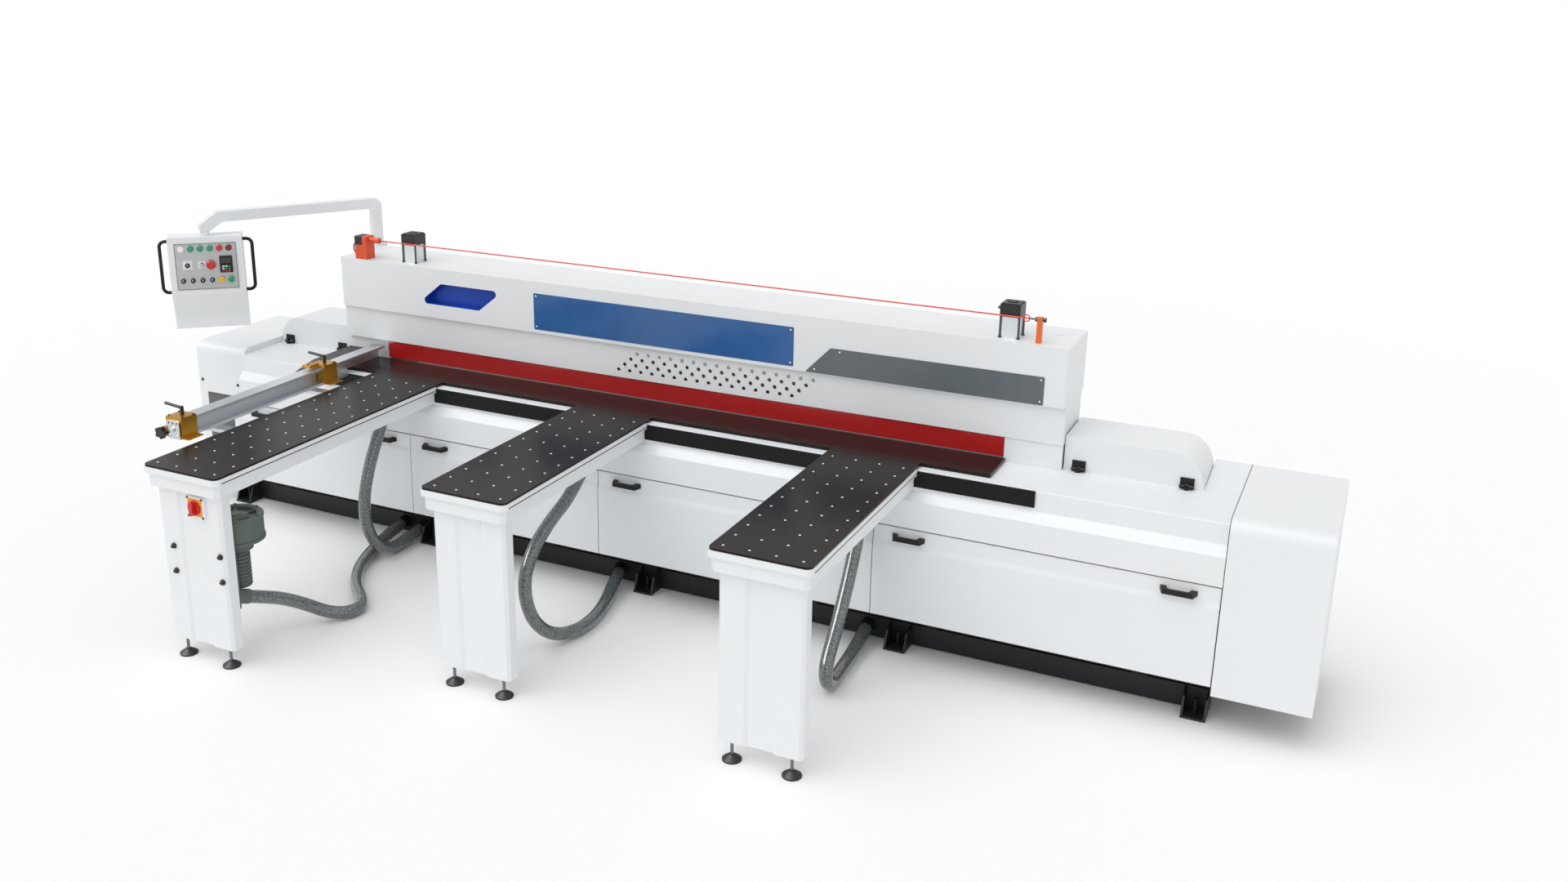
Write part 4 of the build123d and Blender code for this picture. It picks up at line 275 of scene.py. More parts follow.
AMBIENT = 0.65
SOFTBOX, SOFTBOX_EDGE, SOFTBOX_FULL = 9.0, 0.90, 0.96     # its strength, and its size as cosines
SOFTBOX_AT = (-0.45, -0.50, 0.74)
world = bpy.data.worlds.new("studio")
world.use_nodes = True
bpy.context.scene.world = world
tree = world.node_tree
tree.nodes.clear()
rays = add(tree, "ShaderNodeLightPath")
seen = add(
    tree, "ShaderNodeMath", None, {0: rays.outputs["Is Camera Ray"], 1: rays.outputs["Is Glossy Ray"]},
    operation="MAXIMUM")
seen = add(
    tree, "ShaderNodeMath", None, {0: seen.outputs[0], 1: rays.outputs["Is Transmission Ray"]},
    operation="MAXIMUM")
level = add(tree, "ShaderNodeMapRange", {"To Min": AMBIENT, "To Max": 1.0}, {"Value": seen.outputs[0]})
way = add(tree, "ShaderNodeTexCoord").outputs["Generated"]
toward = add(
    tree, "ShaderNodeVectorMath", {1: Vector(SOFTBOX_AT).normalized()}, {0: way},
    operation="DOT_PRODUCT")
softbox = add(
    tree, "ShaderNodeMapRange", {"From Min": SOFTBOX_EDGE, "From Max": SOFTBOX_FULL, "To Max": SOFTBOX},
    {"Value": toward.outputs["Value"]}, interpolation_type="SMOOTHSTEP")
strength = add(
    tree, "ShaderNodeMath", None,
    {0: softbox.outputs[0], 1: rays.outputs["Is Glossy Ray"], 2: level.outputs[0]}, operation="MULTIPLY_ADD")
sky = add(tree, "ShaderNodeBackground", {"Color": linear("FFFFFF")}, {"Strength": strength.outputs[0]})
add(tree, "ShaderNodeOutputWorld", links={"Surface": sky.outputs[0]})
print("suns", len(SUNS))

# %% [markdown]
# ## Finishes
# Most of the machine is sheet steel with a white powder coat, which has a faint orange peel. Where one CAD
# part holds a second finish, such as a black handle on a white door, a box around that region picks it.
# An even colour would look drawn, so one function makes every finish with a fine noise in its colour,
# gloss and relief.

# %% One function for every finish
NUMBER_A, NUMBER_B = 2, 3
COAT_ROUGH = 0.08


def between(tree, place, low, high):
    """A mask that is 1 inside a box: None leaves that side open."""
    axes = add(tree, "ShaderNodeSeparateXYZ", links={"Vector": place})
    mask = None
    for axis, floor, roof in zip("XYZ", low, high):
        for limit, test in ((floor, "GREATER_THAN"), (roof, "LESS_THAN")):
            if limit is None:
                continue
            step = add(tree, "ShaderNodeMath", {1: limit}, {0: axes.outputs[axis]}, operation=test)
            if mask is None:
                mask = step
            else:
                both = {0: mask.outputs[0], 1: step.outputs[0]}
                mask = add(tree, "ShaderNodeMath", None, both, operation="MULTIPLY")
    return mask.outputs[0]


def surface(
        name, light, dark, rough, grain, bump=0.0, metal=0.0, coat=0.0, mirror=0.5, stretch=(1, 1, 1),
        patches=(), yaw=0.0):
    """A finish with a fine grain in its colour, gloss and relief.

    light and dark are the two ends of its colour, rough the two ends of its roughness, grain its size in
    millimetres, stretch how that size changes along each axis, and mirror how strongly it mirrors.
    patches are boxes (low, high, colour, roughness, metal) that have another finish. The boxes stand
    square to the machine, or turned by yaw degrees about the upright axis.
    """
    material, tree, shader = blank(name)
    place = add(tree, "ShaderNodeTexCoord").outputs["Object"]
    stretched = add(tree, "ShaderNodeMapping", {"Scale": stretch}, {"Vector": place})
    noise = add(
        tree, "ShaderNodeTexNoise", {"Scale": MM_IN_M / grain, "Detail": 3.0},
        {"Vector": stretched.outputs[0]})
    colour = add(
        tree, "ShaderNodeMix", {COLOUR_A: linear(dark), COLOUR_B: linear(light)}, {0: noise.outputs[0]},
        data_type="RGBA")
    gloss = add(
        tree, "ShaderNodeMapRange", {"To Min": rough[0], "To Max": rough[1]}, {"Value": noise.outputs[0]})
    tint, shine = colour.outputs[COLOUR_OUT], gloss.outputs[0]
    metallic = None
    if yaw:
        place = add(
            tree, "ShaderNodeMapping", {"Rotation": (0, 0, -math.radians(yaw))}, {"Vector": place}).outputs[0]
    for low, high, code, patch_rough, patch_metal in patches:
        mask = between(tree, place, low, high)
        tint = add(
            tree, "ShaderNodeMix", {COLOUR_B: linear(code)}, {0: mask, COLOUR_A: tint},
            data_type="RGBA").outputs[COLOUR_OUT]
        shine = add(tree, "ShaderNodeMix", {NUMBER_B: patch_rough}, {0: mask, NUMBER_A: shine}).outputs[0]
        if patch_metal != metal or metallic is not None:
            before = {NUMBER_A: metallic} if metallic is not None else {}
            values = {NUMBER_A: metal, NUMBER_B: patch_metal}
            metallic = add(tree, "ShaderNodeMix", values, {0: mask, **before}).outputs[0]
    tree.links.new(tint, shader.inputs["Base Color"])
    tree.links.new(shine, shader.inputs["Roughness"])
    shader.inputs["Metallic"].default_value = metal
    shader.inputs["Specular IOR Level"].default_value = mirror
    if metallic is not None:
        tree.links.new(metallic, shader.inputs["Metallic"])
    if coat:
        shader.inputs["Coat Weight"].default_value = coat
        shader.inputs["Coat Roughness"].default_value = COAT_ROUGH
    if bump:
        relief = add(tree, "ShaderNodeBump", {"Strength": bump, "Distance": MM}, {"Height": noise.outputs[0]})
        tree.links.new(relief.outputs[0], shader.inputs["Normal"])
    return material


print("finish function ready")

# %% [markdown]
# ## White powder coat
# Doors, covers, trays and legs are sprayed with powder and baked. That gives the eye an even, satin white
# with soft reflections. Each part with a patch needs a coat of its own, because its boxes differ.

# %% White powder coats
WHITE = ("ECEEF0", "E3E6E8", (0.36, 0.46), 3.0)
BLACK = ("1A1A1B", 0.42, 0.0)
ANY = (None, None, None)


def powder_coat(name, *patches, yaw=0.0):
    """White powder coat on sheet steel: satin, with a faint orange peel."""
    return surface(name, *WHITE, bump=0.05, mirror=0.25, patches=patches, yaw=yaw)


# The pocket's blue lining, the black hinges and grips, and the hose collars are patches in the coating.
# Their boxes are in metres.
POCKET_LOW, POCKET_HIGH = (-1.449, 0.6312, 1.143), (-0.951, 0.690, 1.262)
HINGE_BACK, DECK_TOP = 0.6795, 0.8236
HANDLE_LOW, HANDLE_HIGH, DOOR_FACE, DOOR_HINGE_TOP = 0.528, 0.560, 0.3589, 0.1828
white = powder_coat("powder_coat_white")
white_deck = powder_coat(
    "powder_coat_deck", ((None, None, DECK_TOP), (None, HINGE_BACK, None), *BLACK))
white_hood = powder_coat("powder_coat_hood", (POCKET_LOW, POCKET_HIGH, "1B49B0", 0.30, 0.0))
white_door = powder_coat(
    "powder_coat_door",
    ((None, None, HANDLE_LOW), (None, DOOR_FACE, HANDLE_HIGH), *BLACK),
    (ANY, (None, None, DOOR_HINGE_TOP), *BLACK))
white_hump = powder_coat("powder_coat_hump", (ANY, (None, HINGE_BACK, None), *BLACK))
COLLARS = ((-1.370, 0.260), (-0.251, 0.240), (0.962, 0.320))
COLLAR_HALF, COLLAR_LOW, COLLAR_HIGH = 0.060, 0.690, 0.7495
# A dark line is painted along the sides of each tray, between its rim and its apron: painted shadow under the
# rim. It stops behind the trays' fronts. The left tray reaches further forward, so it has a box of its own.
RIM_SHADOW_LOW, RIM_SHADOW_HIGH = 0.8105, 0.8155
LEFT_TRAY_END, LEFT_FRONT, OTHER_FRONT = -1.0, -0.965, -0.665
RIM_SHADOW = ("4C5250", 0.5, 0.0)
white_tray = powder_coat(
    "powder_coat_tray",
    *(((x - COLLAR_HALF, y - COLLAR_HALF, COLLAR_LOW), (x + COLLAR_HALF, y + COLLAR_HALF, COLLAR_HIGH),
       "4A4D50", 0.4, 0.0) for x, y in COLLARS),
    # These two boxes paint the shadow under the rims.
    ((None, LEFT_FRONT, RIM_SHADOW_LOW), (LEFT_TRAY_END, None, RIM_SHADOW_HIGH), *RIM_SHADOW),
    ((LEFT_TRAY_END, OTHER_FRONT, RIM_SHADOW_LOW), (None, None, RIM_SHADOW_HIGH), *RIM_SHADOW))
print("white coats ready")

# %% [markdown]
# ## The coat of the pendant
# The pendant is a white box with a brushed aluminium panel, a black counter and black handles. It stands
# turned, so the boxes of its patches are turned with it: across its face, and out of it.

# %% Pendant coat
PENDANT_YAW = 41.0
FACE_ACROSS, FACE_OUT = -1.65093, 1.70447
HALF_BOX, PANEL_SKIN, COUNTER_SKIN = 0.17012, 0.0001, 0.0023
COUNTER_RIGHT, COUNTER_HALF = 0.090, 0.0295
COUNTER_ACROSS = FACE_ACROSS + COUNTER_RIGHT
white_pendant = powder_coat(
    "powder_coat_pendant",
    (ANY, (None, FACE_OUT - PANEL_SKIN, None), "B9BBBC", 0.34, 0.6),
    ((COUNTER_ACROSS - COUNTER_HALF, None, None),
     (COUNTER_ACROSS + COUNTER_HALF, FACE_OUT - COUNTER_SKIN, None), *BLACK),
    ((FACE_ACROSS + HALF_BOX, None, None), ANY, *BLACK),
    (ANY, (FACE_ACROSS - HALF_BOX, None, None), *BLACK),
    yaw=PENDANT_YAW)
print("pendant turned by", PENDANT_YAW, "degrees")

# %% [markdown]
# ## Boards, enamels and metals
# The tables are board, the frame is painted steel, and the fittings are metals. A metal is told from a
# paint by its shader being metallic, and a ground or drawn one by a noise that is stretched along the
# way it was worked.

# %% Boards, enamels and metals
# Tables are dark phenolic-faced board. The panels that slide over it polish it, so it mirrors softly.
BAR_BACK, END_SHEET = 0.3885, (-2.375, 0.3905)
PAD_TOP, JACK_FRONT, HEAD_FROM = 0.0245, 0.3, 1.4125
board = surface("phenolic_board", "262220", "191614", (0.18, 0.28), 6.0, bump=0.03, mirror=0.09)
board_and_bar = surface(
    "phenolic_board_and_bar", "261F1D", "191412", (0.16, 0.26), 6.0, bump=0.03, mirror=0.16,
    patches=((ANY, (None, BAR_BACK, None), "161617", 0.4, 0.0),))
# Black enamel is sprayed on rough steel, so its highlights are broad and a little uneven. The inner frame has
# the same enamel, apart from the white sheet that closes its left end. Its black is partly painted shade: it
# darkens the pan's front edge under the doors, where there is shade.
ENAMEL = ("202325", "181A1C", (0.35, 0.48), 4.0)
black_paint = surface("black_enamel", *ENAMEL, bump=0.08, mirror=0.35)
black_frame_as_shade = surface(
    "black_enamel_frame_as_shade", *ENAMEL, bump=0.08, mirror=0.35,
    patches=((ANY, (*END_SHEET, None), "E8E9E9", 0.35, 0.0),))
# Zinc plate is a dull bright grey. The pads of the feet are rubber, and the jack bolts are blackened.
zinc = surface(
    "zinc_plated_steel", "85898C", "63676A", (0.28, 0.42), 5.0, metal=1.0,
    patches=(
        (ANY, (None, None, PAD_TOP), "161616", 0.5, 0.0),
        ((None, JACK_FRONT, None), ANY, "202021", 0.45, 0.6)))
# Ground steel has fine lines along the machine, which draw its highlights out.
ground_steel = surface(
    "ground_steel", "B4B8BB", "8F9396", (0.25, 0.40), 3.0, bump=0.05, metal=1.0, stretch=(0.03, 1, 1))
# The castings have a thick green-grey enamel: lumpy, with a soft sheen.
cast_grey = surface("enamelled_casting", "626C65", "4E5851", (0.38, 0.5), 5.0, bump=0.25)
# The fence is drawn and anodised aluminium: satin, with fine lines along it.
anodised = surface(
    "anodised_aluminium", "D2D5D8", "BFC3C7", (0.30, 0.42), 2.0, bump=0.04, metal=0.85, stretch=(1, 0.02, 1))
# A cylinder tube is polished, so it shows dark and bright bands. Its head is black nylon.
cylinder_metal = surface(
    "bright_cylinder", "E2E5E7", "D2D6D9", (0.18, 0.30), 3.0, metal=0.6,
    patches=(((None, None, HEAD_FROM), ANY, "151516", 0.38, 0.0),))
# The stops are milled blocks, anodised gold: a warm satin metal.
gold = surface("gold_anodised", "C4932F", "A87A22", (0.28, 0.38), 2.5, bump=0.04, metal=0.75)
print("boards and metals ready")

# %% [markdown]
# ## Plastics
# Rope fittings, curtain, knobs and buttons are moulded or cut plastics. They differ from paint in a
# stronger colour, and the glossy ones in a thin clear coat, which gives a small sharp highlight.

# %% Plastics
POST_FROM, ROPE_END = 1.5, 1.5501
# Nylon is moulded and slightly dull. The post at the right is more orange than the switch at the left.
orange = surface(
    "orange_nylon", "E2532A", "CC441F", (0.38, 0.48), 3.0, bump=0.05,
    patches=(((POST_FROM, None, None), ANY, "E46A26", 0.42, 0.0),))
# The rope is redder than its fittings, and its threaded end at the post is black.
rope_plastic = surface(
    "red_rope", "DC4A40", "C83C33", (0.38, 0.48), 3.0, bump=0.05,
    patches=(((ROPE_END, None, None), ANY, *BLACK),))
# The curtain is clear-faced red acrylic: a deep colour under a sharp reflection.
red_sheet = surface("red_acrylic", "BE1917", "A61110", (0.12, 0.2), 12.0, coat=0.4)
# Black nylon has a fine moulded grain, so it stays dull.
black_plastic = surface("black_nylon", "1C1C1D", "131314", (0.38, 0.5), 1.5, bump=0.1)
# The buttons are moulded in strong colours and polished.
MOULDED = {
    "red": ("CF1F1C", "B81614"), "dark_red": ("7C1512", "6A100E"), "yellow": ("E8B71A", "D9A70F"),
    "green": ("1F9A6C", "17875C"),
}
moulded = {
    name: surface("moulded_" + name, light, dark, (0.22, 0.32), 2.0, coat=0.2)
    for name, (light, dark) in MOULDED.items()
}
print("plastics ready")

# %% [markdown]
# ## Painting the CAD parts
# Each part could be given its finish on a line of its own. A table from finish to parts shows which parts
# share one, and a short loop then paints them all.

# %% Paint the CAD parts
paint = {
    board: ["extension_tops"],
    board_and_bar: ["main_table"],
    black_paint: ["base_frame"],
    black_frame_as_shade: ["body_frame"],
    zinc: ["levelling_feet"],
    white_deck: ["deck_plate"],
    white_hood: ["upper_cover"],
    white_door: ["door_1", "door_2", "door_3", "door_4"],
    white_hump: ["left_hump_cover", "right_hump_cover"],
    white_tray: ["extension_frames"],
    white_pendant: ["pendant_box"],
    ground_steel: [
        "guide_rails", "pressure_beam", "carriage", "main_blade", "motor_pulley", "scoring_blade",
        "feed_pinion"],
    cast_grey: ["blower", "saw_unit", "scoring_unit"],
    anodised: ["fence"],
    cylinder_metal: ["clamp_cylinders"],
    gold: ["front_stop", "rear_stop"],
    orange: ["rope_fittings"],
    rope_plastic: ["pull_rope"],
    red_sheet: ["curtain"],
    black_plastic: [
        "front_stop_lever", "rear_stop_lever", "star_knob", "mode_selector", "selector_1", "selector_2",
        "selector_3", "selector_4", "speed_knob"],
    moulded["red"]: ["switch_knob", "red_button", "emergency_button"],
    moulded["dark_red"]: ["dark_red_button"],
    moulded["yellow"]: ["yellow_button"],
    moulded["green"]: ["green_button_1", "green_button_2", "green_button_3", "green_button_4"],
    white: [
        "front_panel", "rear_panel", "end_covers", "gantry_frame", "lower_cover", "pendant_arm"],
}
painted = 0
for material, names in paint.items():
    for name in names:
        nodes[name].data.materials.clear()
        nodes[name].data.materials.append(material)
        painted += 1
print("painted", painted, "of", len(nodes), "CAD parts, besides the four hoses")

# %% [markdown]
# ## Small pieces
# The rest of the machine is many small things: nozzles, plates, screws, bezels. They could each be a CAD
# part, but they are too small to matter there, so they are modelled here. Four helpers start them: a
# block with rounded edges, a turned piece that is spun from a profile, a flat sheet cut to an outline,
# and a square plate with a round hole.

# %% Helpers for small pieces
UP, FORWARD, RIGHT, LEFT = (0, 0, 1), (0, -1, 0), (1, 0, 0), (-1, 0, 0)
HOLE_STEPS = 24             # corners of a round hole, and of the square outline that is bridged to it
WELD, SHARP = 0.01, 35.0    # points closer than this are one, and edges sharper than this stay sharp


def block(bm, low, high, edge=0.0, seat=Matrix.Identity(4)):
    """A block between two corners in millimetres, its edges rounded by edge, on a seat."""
    size = [(roof - floor) * MM for floor, roof in zip(low, high)]
    centre = [(roof + floor) / 2 * MM for floor, roof in zip(low, high)]
    place = seat @ Matrix.Translation(centre) @ Matrix.Diagonal((*size, 1.0))
    made = bmesh.ops.create_cube(bm, size=1.0, matrix=place)
    if edge:
        edges = list({side for vert in made["verts"] for side in vert.link_edges})
        bmesh.ops.bevel(
            bm, geom=edges, offset=edge * MM, affect="EDGES", segments=2, profile=0.5, material=-1)


def upright(place, axis):
    """A seat at a place in millimetres, with its Z along an axis."""
    seat = Vector(axis).to_track_quat("Z", "Y").to_matrix().to_4x4()
    seat.translation = Vector(place) * MM
    return seat


def turned(bm, profile, seat, steps=16, ring=False):
    """A turned piece: (radius, height) points in millimetres, spun about the seat's Z. A ring is closed."""
    verts = [bm.verts.new(seat @ Vector((radius * MM, 0.0, height * MM))) for radius, height in profile]
    edges = [bm.edges.new(pair) for pair in zip(verts, verts[1:])]
    if ring:
        edges.append(bm.edges.new((verts[-1], verts[0])))
    bmesh.ops.spin(
        bm, geom=verts + edges, cent=seat.translation, axis=seat.to_3x3() @ Vector(UP), angle=2 * math.pi,
        steps=steps, use_merge=True)


def thicken(bm, faces, way):
    """Give flat faces a thickness: a copy of them is pulled along a way and joined to them by walls."""
    grown = bmesh.ops.extrude_face_region(bm, geom=faces, use_keep_orig=True)
    lifted = [item for item in grown["geom"] if isinstance(item, bmesh.types.BMVert)]
    bmesh.ops.translate(bm, verts=lifted, vec=way)


def sheet(bm, outline, way):
    """A flat outline of points in millimetres, given a thickness."""
    face = bm.faces.new([bm.verts.new(Vector(point) * MM) for point in outline])
    thicken(bm, [face], Vector(way) * MM)


def holed_plate(bm, seat, half, hole, thick):
    """A square plate with a round hole: half its width, the hole's radius and its thickness."""
    corner = Matrix.Rotation(math.pi / 4, 4, "Z")
    outer = bmesh.ops.create_circle(bm, segments=4, radius=half * math.sqrt(2) * MM, matrix=seat @ corner)
    outline = list({side for vert in outer["verts"] for side in vert.link_edges})
    cut = bmesh.ops.subdivide_edges(bm, edges=outline, cuts=HOLE_STEPS // 4 - 1)
    rim = [item for item in cut["geom"] if isinstance(item, bmesh.types.BMEdge)]
    inner = bmesh.ops.create_circle(bm, segments=HOLE_STEPS, radius=hole * MM, matrix=seat)
    rim += list({side for vert in inner["verts"] for side in vert.link_edges})
    faces = bmesh.ops.bridge_loops(bm, edges=rim)["faces"]
    thicken(bm, faces, seat.to_3x3() @ Vector((0, 0, thick * MM)))


def finish(name, bm, material, body="machine", smooth=False):
    """Close a bmesh into a piece that rides on a body."""
    bmesh.ops.remove_doubles(bm, verts=bm.verts, dist=WELD * MM)
    bmesh.ops.recalc_face_normals(bm, faces=bm.faces)
    for face in bm.faces:
        face.smooth = smooth
    mesh = bpy.data.meshes.new(name)
    open_edges = sum(not side.is_manifold for side in bm.edges)
    bm.to_mesh(mesh)
    bm.free()
    mesh.materials.append(material)
    piece = bpy.data.objects.new(name, mesh)
    bpy.context.collection.objects.link(piece)
    if smooth:
        mesh.set_sharp_from_angle(angle=math.radians(SHARP))
    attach(piece, body)
    print(name, "on", body, "faces", len(mesh.polygons), "open edges", open_edges)


print("helpers for small pieces ready")

# %% [markdown]
# ## Air nozzles
# Panels float on air from nozzles in the tables, 100 mm apart. A real nozzle is a nylon ring with a ball
# that a panel presses down. There are many, so each is only a low cone whose top is inset and sunk.

# %% Air nozzles
TABLE_TOP = 838.0
# Each table has the middle of its width, its front edge and the number of its rows.
TABLES = ((969.5, -696.0, 11), (-249.5, -696.0, 11), (-1369.5, -996.0, 14))
NOZZLE_PITCH, NOZZLE_COLUMNS, FIRST_ROW = 100.0, 4, 46.0
NOZZLE_R, NOZZLE_H, NOZZLE_LIP, NOZZLE_SINK, NOZZLE_TAPER = 4.8, 0.9, 1.6, 0.6, 0.85
# White nylon is moulded and a little dull, so the nozzles are even white dots.
nylon = surface("white_nylon", "F4F4F2", "E8E8E5", (0.35, 0.45), 1.0, bump=0.03)
bm = bmesh.new()
for centre, front, rows in TABLES:
    for column in range(NOZZLE_COLUMNS):
        for row in range(rows):
            x = centre + (column - (NOZZLE_COLUMNS - 1) / 2) * NOZZLE_PITCH
            y = front + FIRST_ROW + row * NOZZLE_PITCH
            seat = upright((x, y, TABLE_TOP + NOZZLE_H / 2), UP)
            made = bmesh.ops.create_cone(
                bm, cap_ends=True, segments=10, radius1=NOZZLE_R * MM,
                radius2=NOZZLE_TAPER * NOZZLE_R * MM, depth=NOZZLE_H * MM, matrix=seat)
            faces = {face for vert in made["verts"] for face in vert.link_faces}
            top = max(faces, key=lambda face: face.calc_center_median().z)
            bmesh.ops.inset_individual(bm, faces=[top], thickness=NOZZLE_LIP * MM, depth=-NOZZLE_SINK * MM)
finish("air_nozzles", bm, nylon)

# %% [markdown]
# ## Plates on the beam
# Two thin plates are riveted to the beam's hood: a long blue one and a dark grey one with a slanted end.
# They are left plain. A flat face of the right outline is extruded by the thickness of the plate, which
# gives real edges that catch light.

# %% Plates on the beam
HOOD_FACE = 630.0
PLATE_T, PLATE_GAP, PLATE_CORNER = 1.6, 0.05, 6.0
BLUE_PLATE = ((-783, 1100), (519, 1100), (519, 1271), (-783, 1271))
GREY_PLATE = ((574, 1086), (1584, 1086), (1584, 1202), (686, 1202))
RIVET = ((0, 0), (4.5, 0), (4.2, 1.2), (2.5, 2.2), (0, 2.6))
RIVET_IN, SLANT_IN = 14.0, 42.0         # from a square end, and from a slanted one
# Printed acrylic is flat and glossy. Bright zinc is a clean pale metal.
blue_acrylic = surface("printed_blue_acrylic", "1D5FA0", "17508C", (0.18, 0.28), 60.0, coat=0.3)
grey_acrylic = surface("printed_grey_acrylic", "5F676C", "545C61", (0.28, 0.38), 40.0, coat=0.15)
bright = surface("bright_zinc", "D5D8DA", "B9BDC0", (0.2, 0.32), 2.0, metal=1.0)
for name, outline, material in (
        ("blue_plate", BLUE_PLATE, blue_acrylic), ("grey_plate", GREY_PLATE, grey_acrylic)):
    bm = bmesh.new()
    sheet(bm, [(x, HOOD_FACE - PLATE_GAP, z) for x, z in outline], (0, -PLATE_T, 0))
    corners = [
        side for side in bm.edges if abs(side.verts[0].co.y - side.verts[1].co.y) > PLATE_T / 2 * MM]
    bmesh.ops.bevel(
        bm, geom=corners, offset=PLATE_CORNER * MM, affect="EDGES", segments=4, profile=0.5, material=-1)
    finish(name, bm, material)

bm = bmesh.new()
for outline in (BLUE_PLATE, GREY_PLATE):
    middle_x = sum(x for x, z in outline) / len(outline)
    middle_z = sum(z for x, z in outline) / len(outline)
    for x, z in outline:
        inward = SLANT_IN if outline is GREY_PLATE and x < middle_x else RIVET_IN
        place = (
            x + math.copysign(inward, middle_x - x), HOOD_FACE - PLATE_T - PLATE_GAP,
            z + math.copysign(RIVET_IN, middle_z - z))
        turned(bm, RIVET, upright(place, FORWARD), steps=10)
finish("plate_rivets", bm, bright, smooth=True)

# %% [markdown]
# ## Seam shadow strip and column panels
# A dark strip fills the joint between the body and the right end cover: painted shadow for the gap of that
# joint. A white panel closes the front of each column beside the red curtain. The strip follows the cover's
# outline, so its outline is walked twice, outside and back inside, and that thin band is given its width.

# %% Seam shadow strip and column panels
SEAM_X, SEAM_SHADOW_W = 2345.1, 2.6
COVER_FRONT, COVER_BACK, COVER_TOP, COVER_LOW, COVER_BEND = 353.0, 996.0, 851.0, 148.0, 50.0
PROUD, SUNK = 0.5, -0.5
BEND_STEPS = 6
# Each panel has its left and right edge, its front, and the places of its two returns to the column.
PANELS = (
    (1436.5, 1670.0, 655.0, (1465.5, 1662.8)),
    (-1911.0, -1667.0, 672.0, (-1910.5, -1713.2)))
PANEL_Z, PANEL_T, PANEL_LAP, COLUMN_FRONT = (823.5, 926.0), 3.0, 1.0, 689.9


def cover_line(out):
    """Points along the cover's outline, moved out of it: back, top, bend and front."""
    radius = COVER_BEND + out
    centre = (COVER_FRONT + COVER_BEND, COVER_TOP - COVER_BEND)
    turns = [math.radians(90 + 90 * step / BEND_STEPS) for step in range(BEND_STEPS + 1)]
    bend = [(centre[0] + radius * math.cos(turn), centre[1] + radius * math.sin(turn)) for turn in turns]
    return [(COVER_BACK, COVER_TOP + out), *bend, (COVER_FRONT - out, COVER_LOW)]


# The black strip in the joint is painted shadow of its gap.
bm = bmesh.new()
band = cover_line(PROUD) + cover_line(SUNK)[::-1]
sheet(bm, [(SEAM_X, y, z) for y, z in band], (SEAM_SHADOW_W, 0, 0))
finish("cover_seam_shadow", bm, black_plastic)
bm = bmesh.new()
for left, right, front, returns in PANELS:
    block(bm, (left, front, PANEL_Z[0]), (right, front + PANEL_T, PANEL_Z[1]))
    for x in returns:
        block(bm, (x, front + PANEL_T - PANEL_LAP, PANEL_Z[0]), (x + PANEL_T, COLUMN_FRONT, PANEL_Z[1]))
finish("column_panels", bm, white)

# %% [markdown]
# ## Main switch and leg bolts
# The red main switch turns in a yellow plate, on a white box with four black screws. Below it, the bolts of
# the blower's bracket come through the leg under black caps. The plate is a square outline bridged to a
# circle, which leaves the hole for the knob.

# %% Main switch and leg bolts
SWITCH = (-1320.0, -970.05, 690.0)
SWITCH_PLATE = (36.0, 30.6, 2.0)        # half its width, its hole and its thickness
SWITCH_SCREWS = [(SWITCH[0] + dx, SWITCH[1], SWITCH[2] + dz) for dx in (-38, 38) for dz in (-39, 38)]
LEG_BOLTS = [(x, -956.05, z) for x in (-1472.0, -1224.0) for z in (386.0, 494.0)]
COVER_PLUGS = [(-2676.0, 399.95, 651.0), (-2436.0, 399.95, 652.0)]
SCREW = ((0, 0), (4.6, 0), (4.6, 2.2), (3.8, 3.0), (2.4, 3.0), (2.4, 1.2), (0, 1.2))
BOLT_CAP = ((0, 0), (12.5, 0), (12.5, 5), (10.5, 6.5), (8.5, 7), (8.0, 13), (6, 15.5), (0, 16.5))
PLUG = ((0, 0), (8.0, 0), (8.0, 2.0), (6.5, 4.0), (0, 5.0))
# Yellow enamel on a thin plate is smooth and bright.
yellow_plate = surface("yellow_enamel", "F0A52C", "E39420", (0.3, 0.4), 6.0, coat=0.1)
bm = bmesh.new()
holed_plate(bm, upright(SWITCH, FORWARD), *SWITCH_PLATE)
finish("switch_plate", bm, yellow_plate)
bm = bmesh.new()
for profile, places in ((SCREW, SWITCH_SCREWS), (BOLT_CAP, LEG_BOLTS), (PLUG, COVER_PLUGS)):
    for place in places:
        turned(bm, profile, upright(place, FORWARD), steps=14)
finish("black_screws_and_plugs", bm, black_plastic, smooth=True)

# %% [markdown]
# ## Clamp cylinders
# Each air cylinder is a bright tube between two heads, held by four tie rods. The CAD part gives the tube
# and the head, and this adds the rods with their nuts, the recessed plate on the head and an air fitting.

# %% Clamp cylinder details
CYLINDERS, CYLINDER_Y = (-1524.0, 1418.0), 717.0
BARREL, BARREL_H = 1326.0, 87.0
HEAD_TOP, HEAD_HALF, FITTING_DROP = 1463.0, 41.0, 24.0
ROD_AT = 37.0
ROD = ((0, 0), (7.0, 0), (7.0, 7), (4.6, 7), (4.6, BARREL_H), (0, BARREL_H))
HEAD_PLATE = (36.0, 22.0, 4.0)          # half its width, its hole and its thickness
HEAD_DISC = ((0, 0), (14, 0), (14, 5), (9, 7), (0, 7))
AIR_FITTING = ((0, 0), (9, 0), (9, 10), (6, 12), (6, 18), (0, 18))
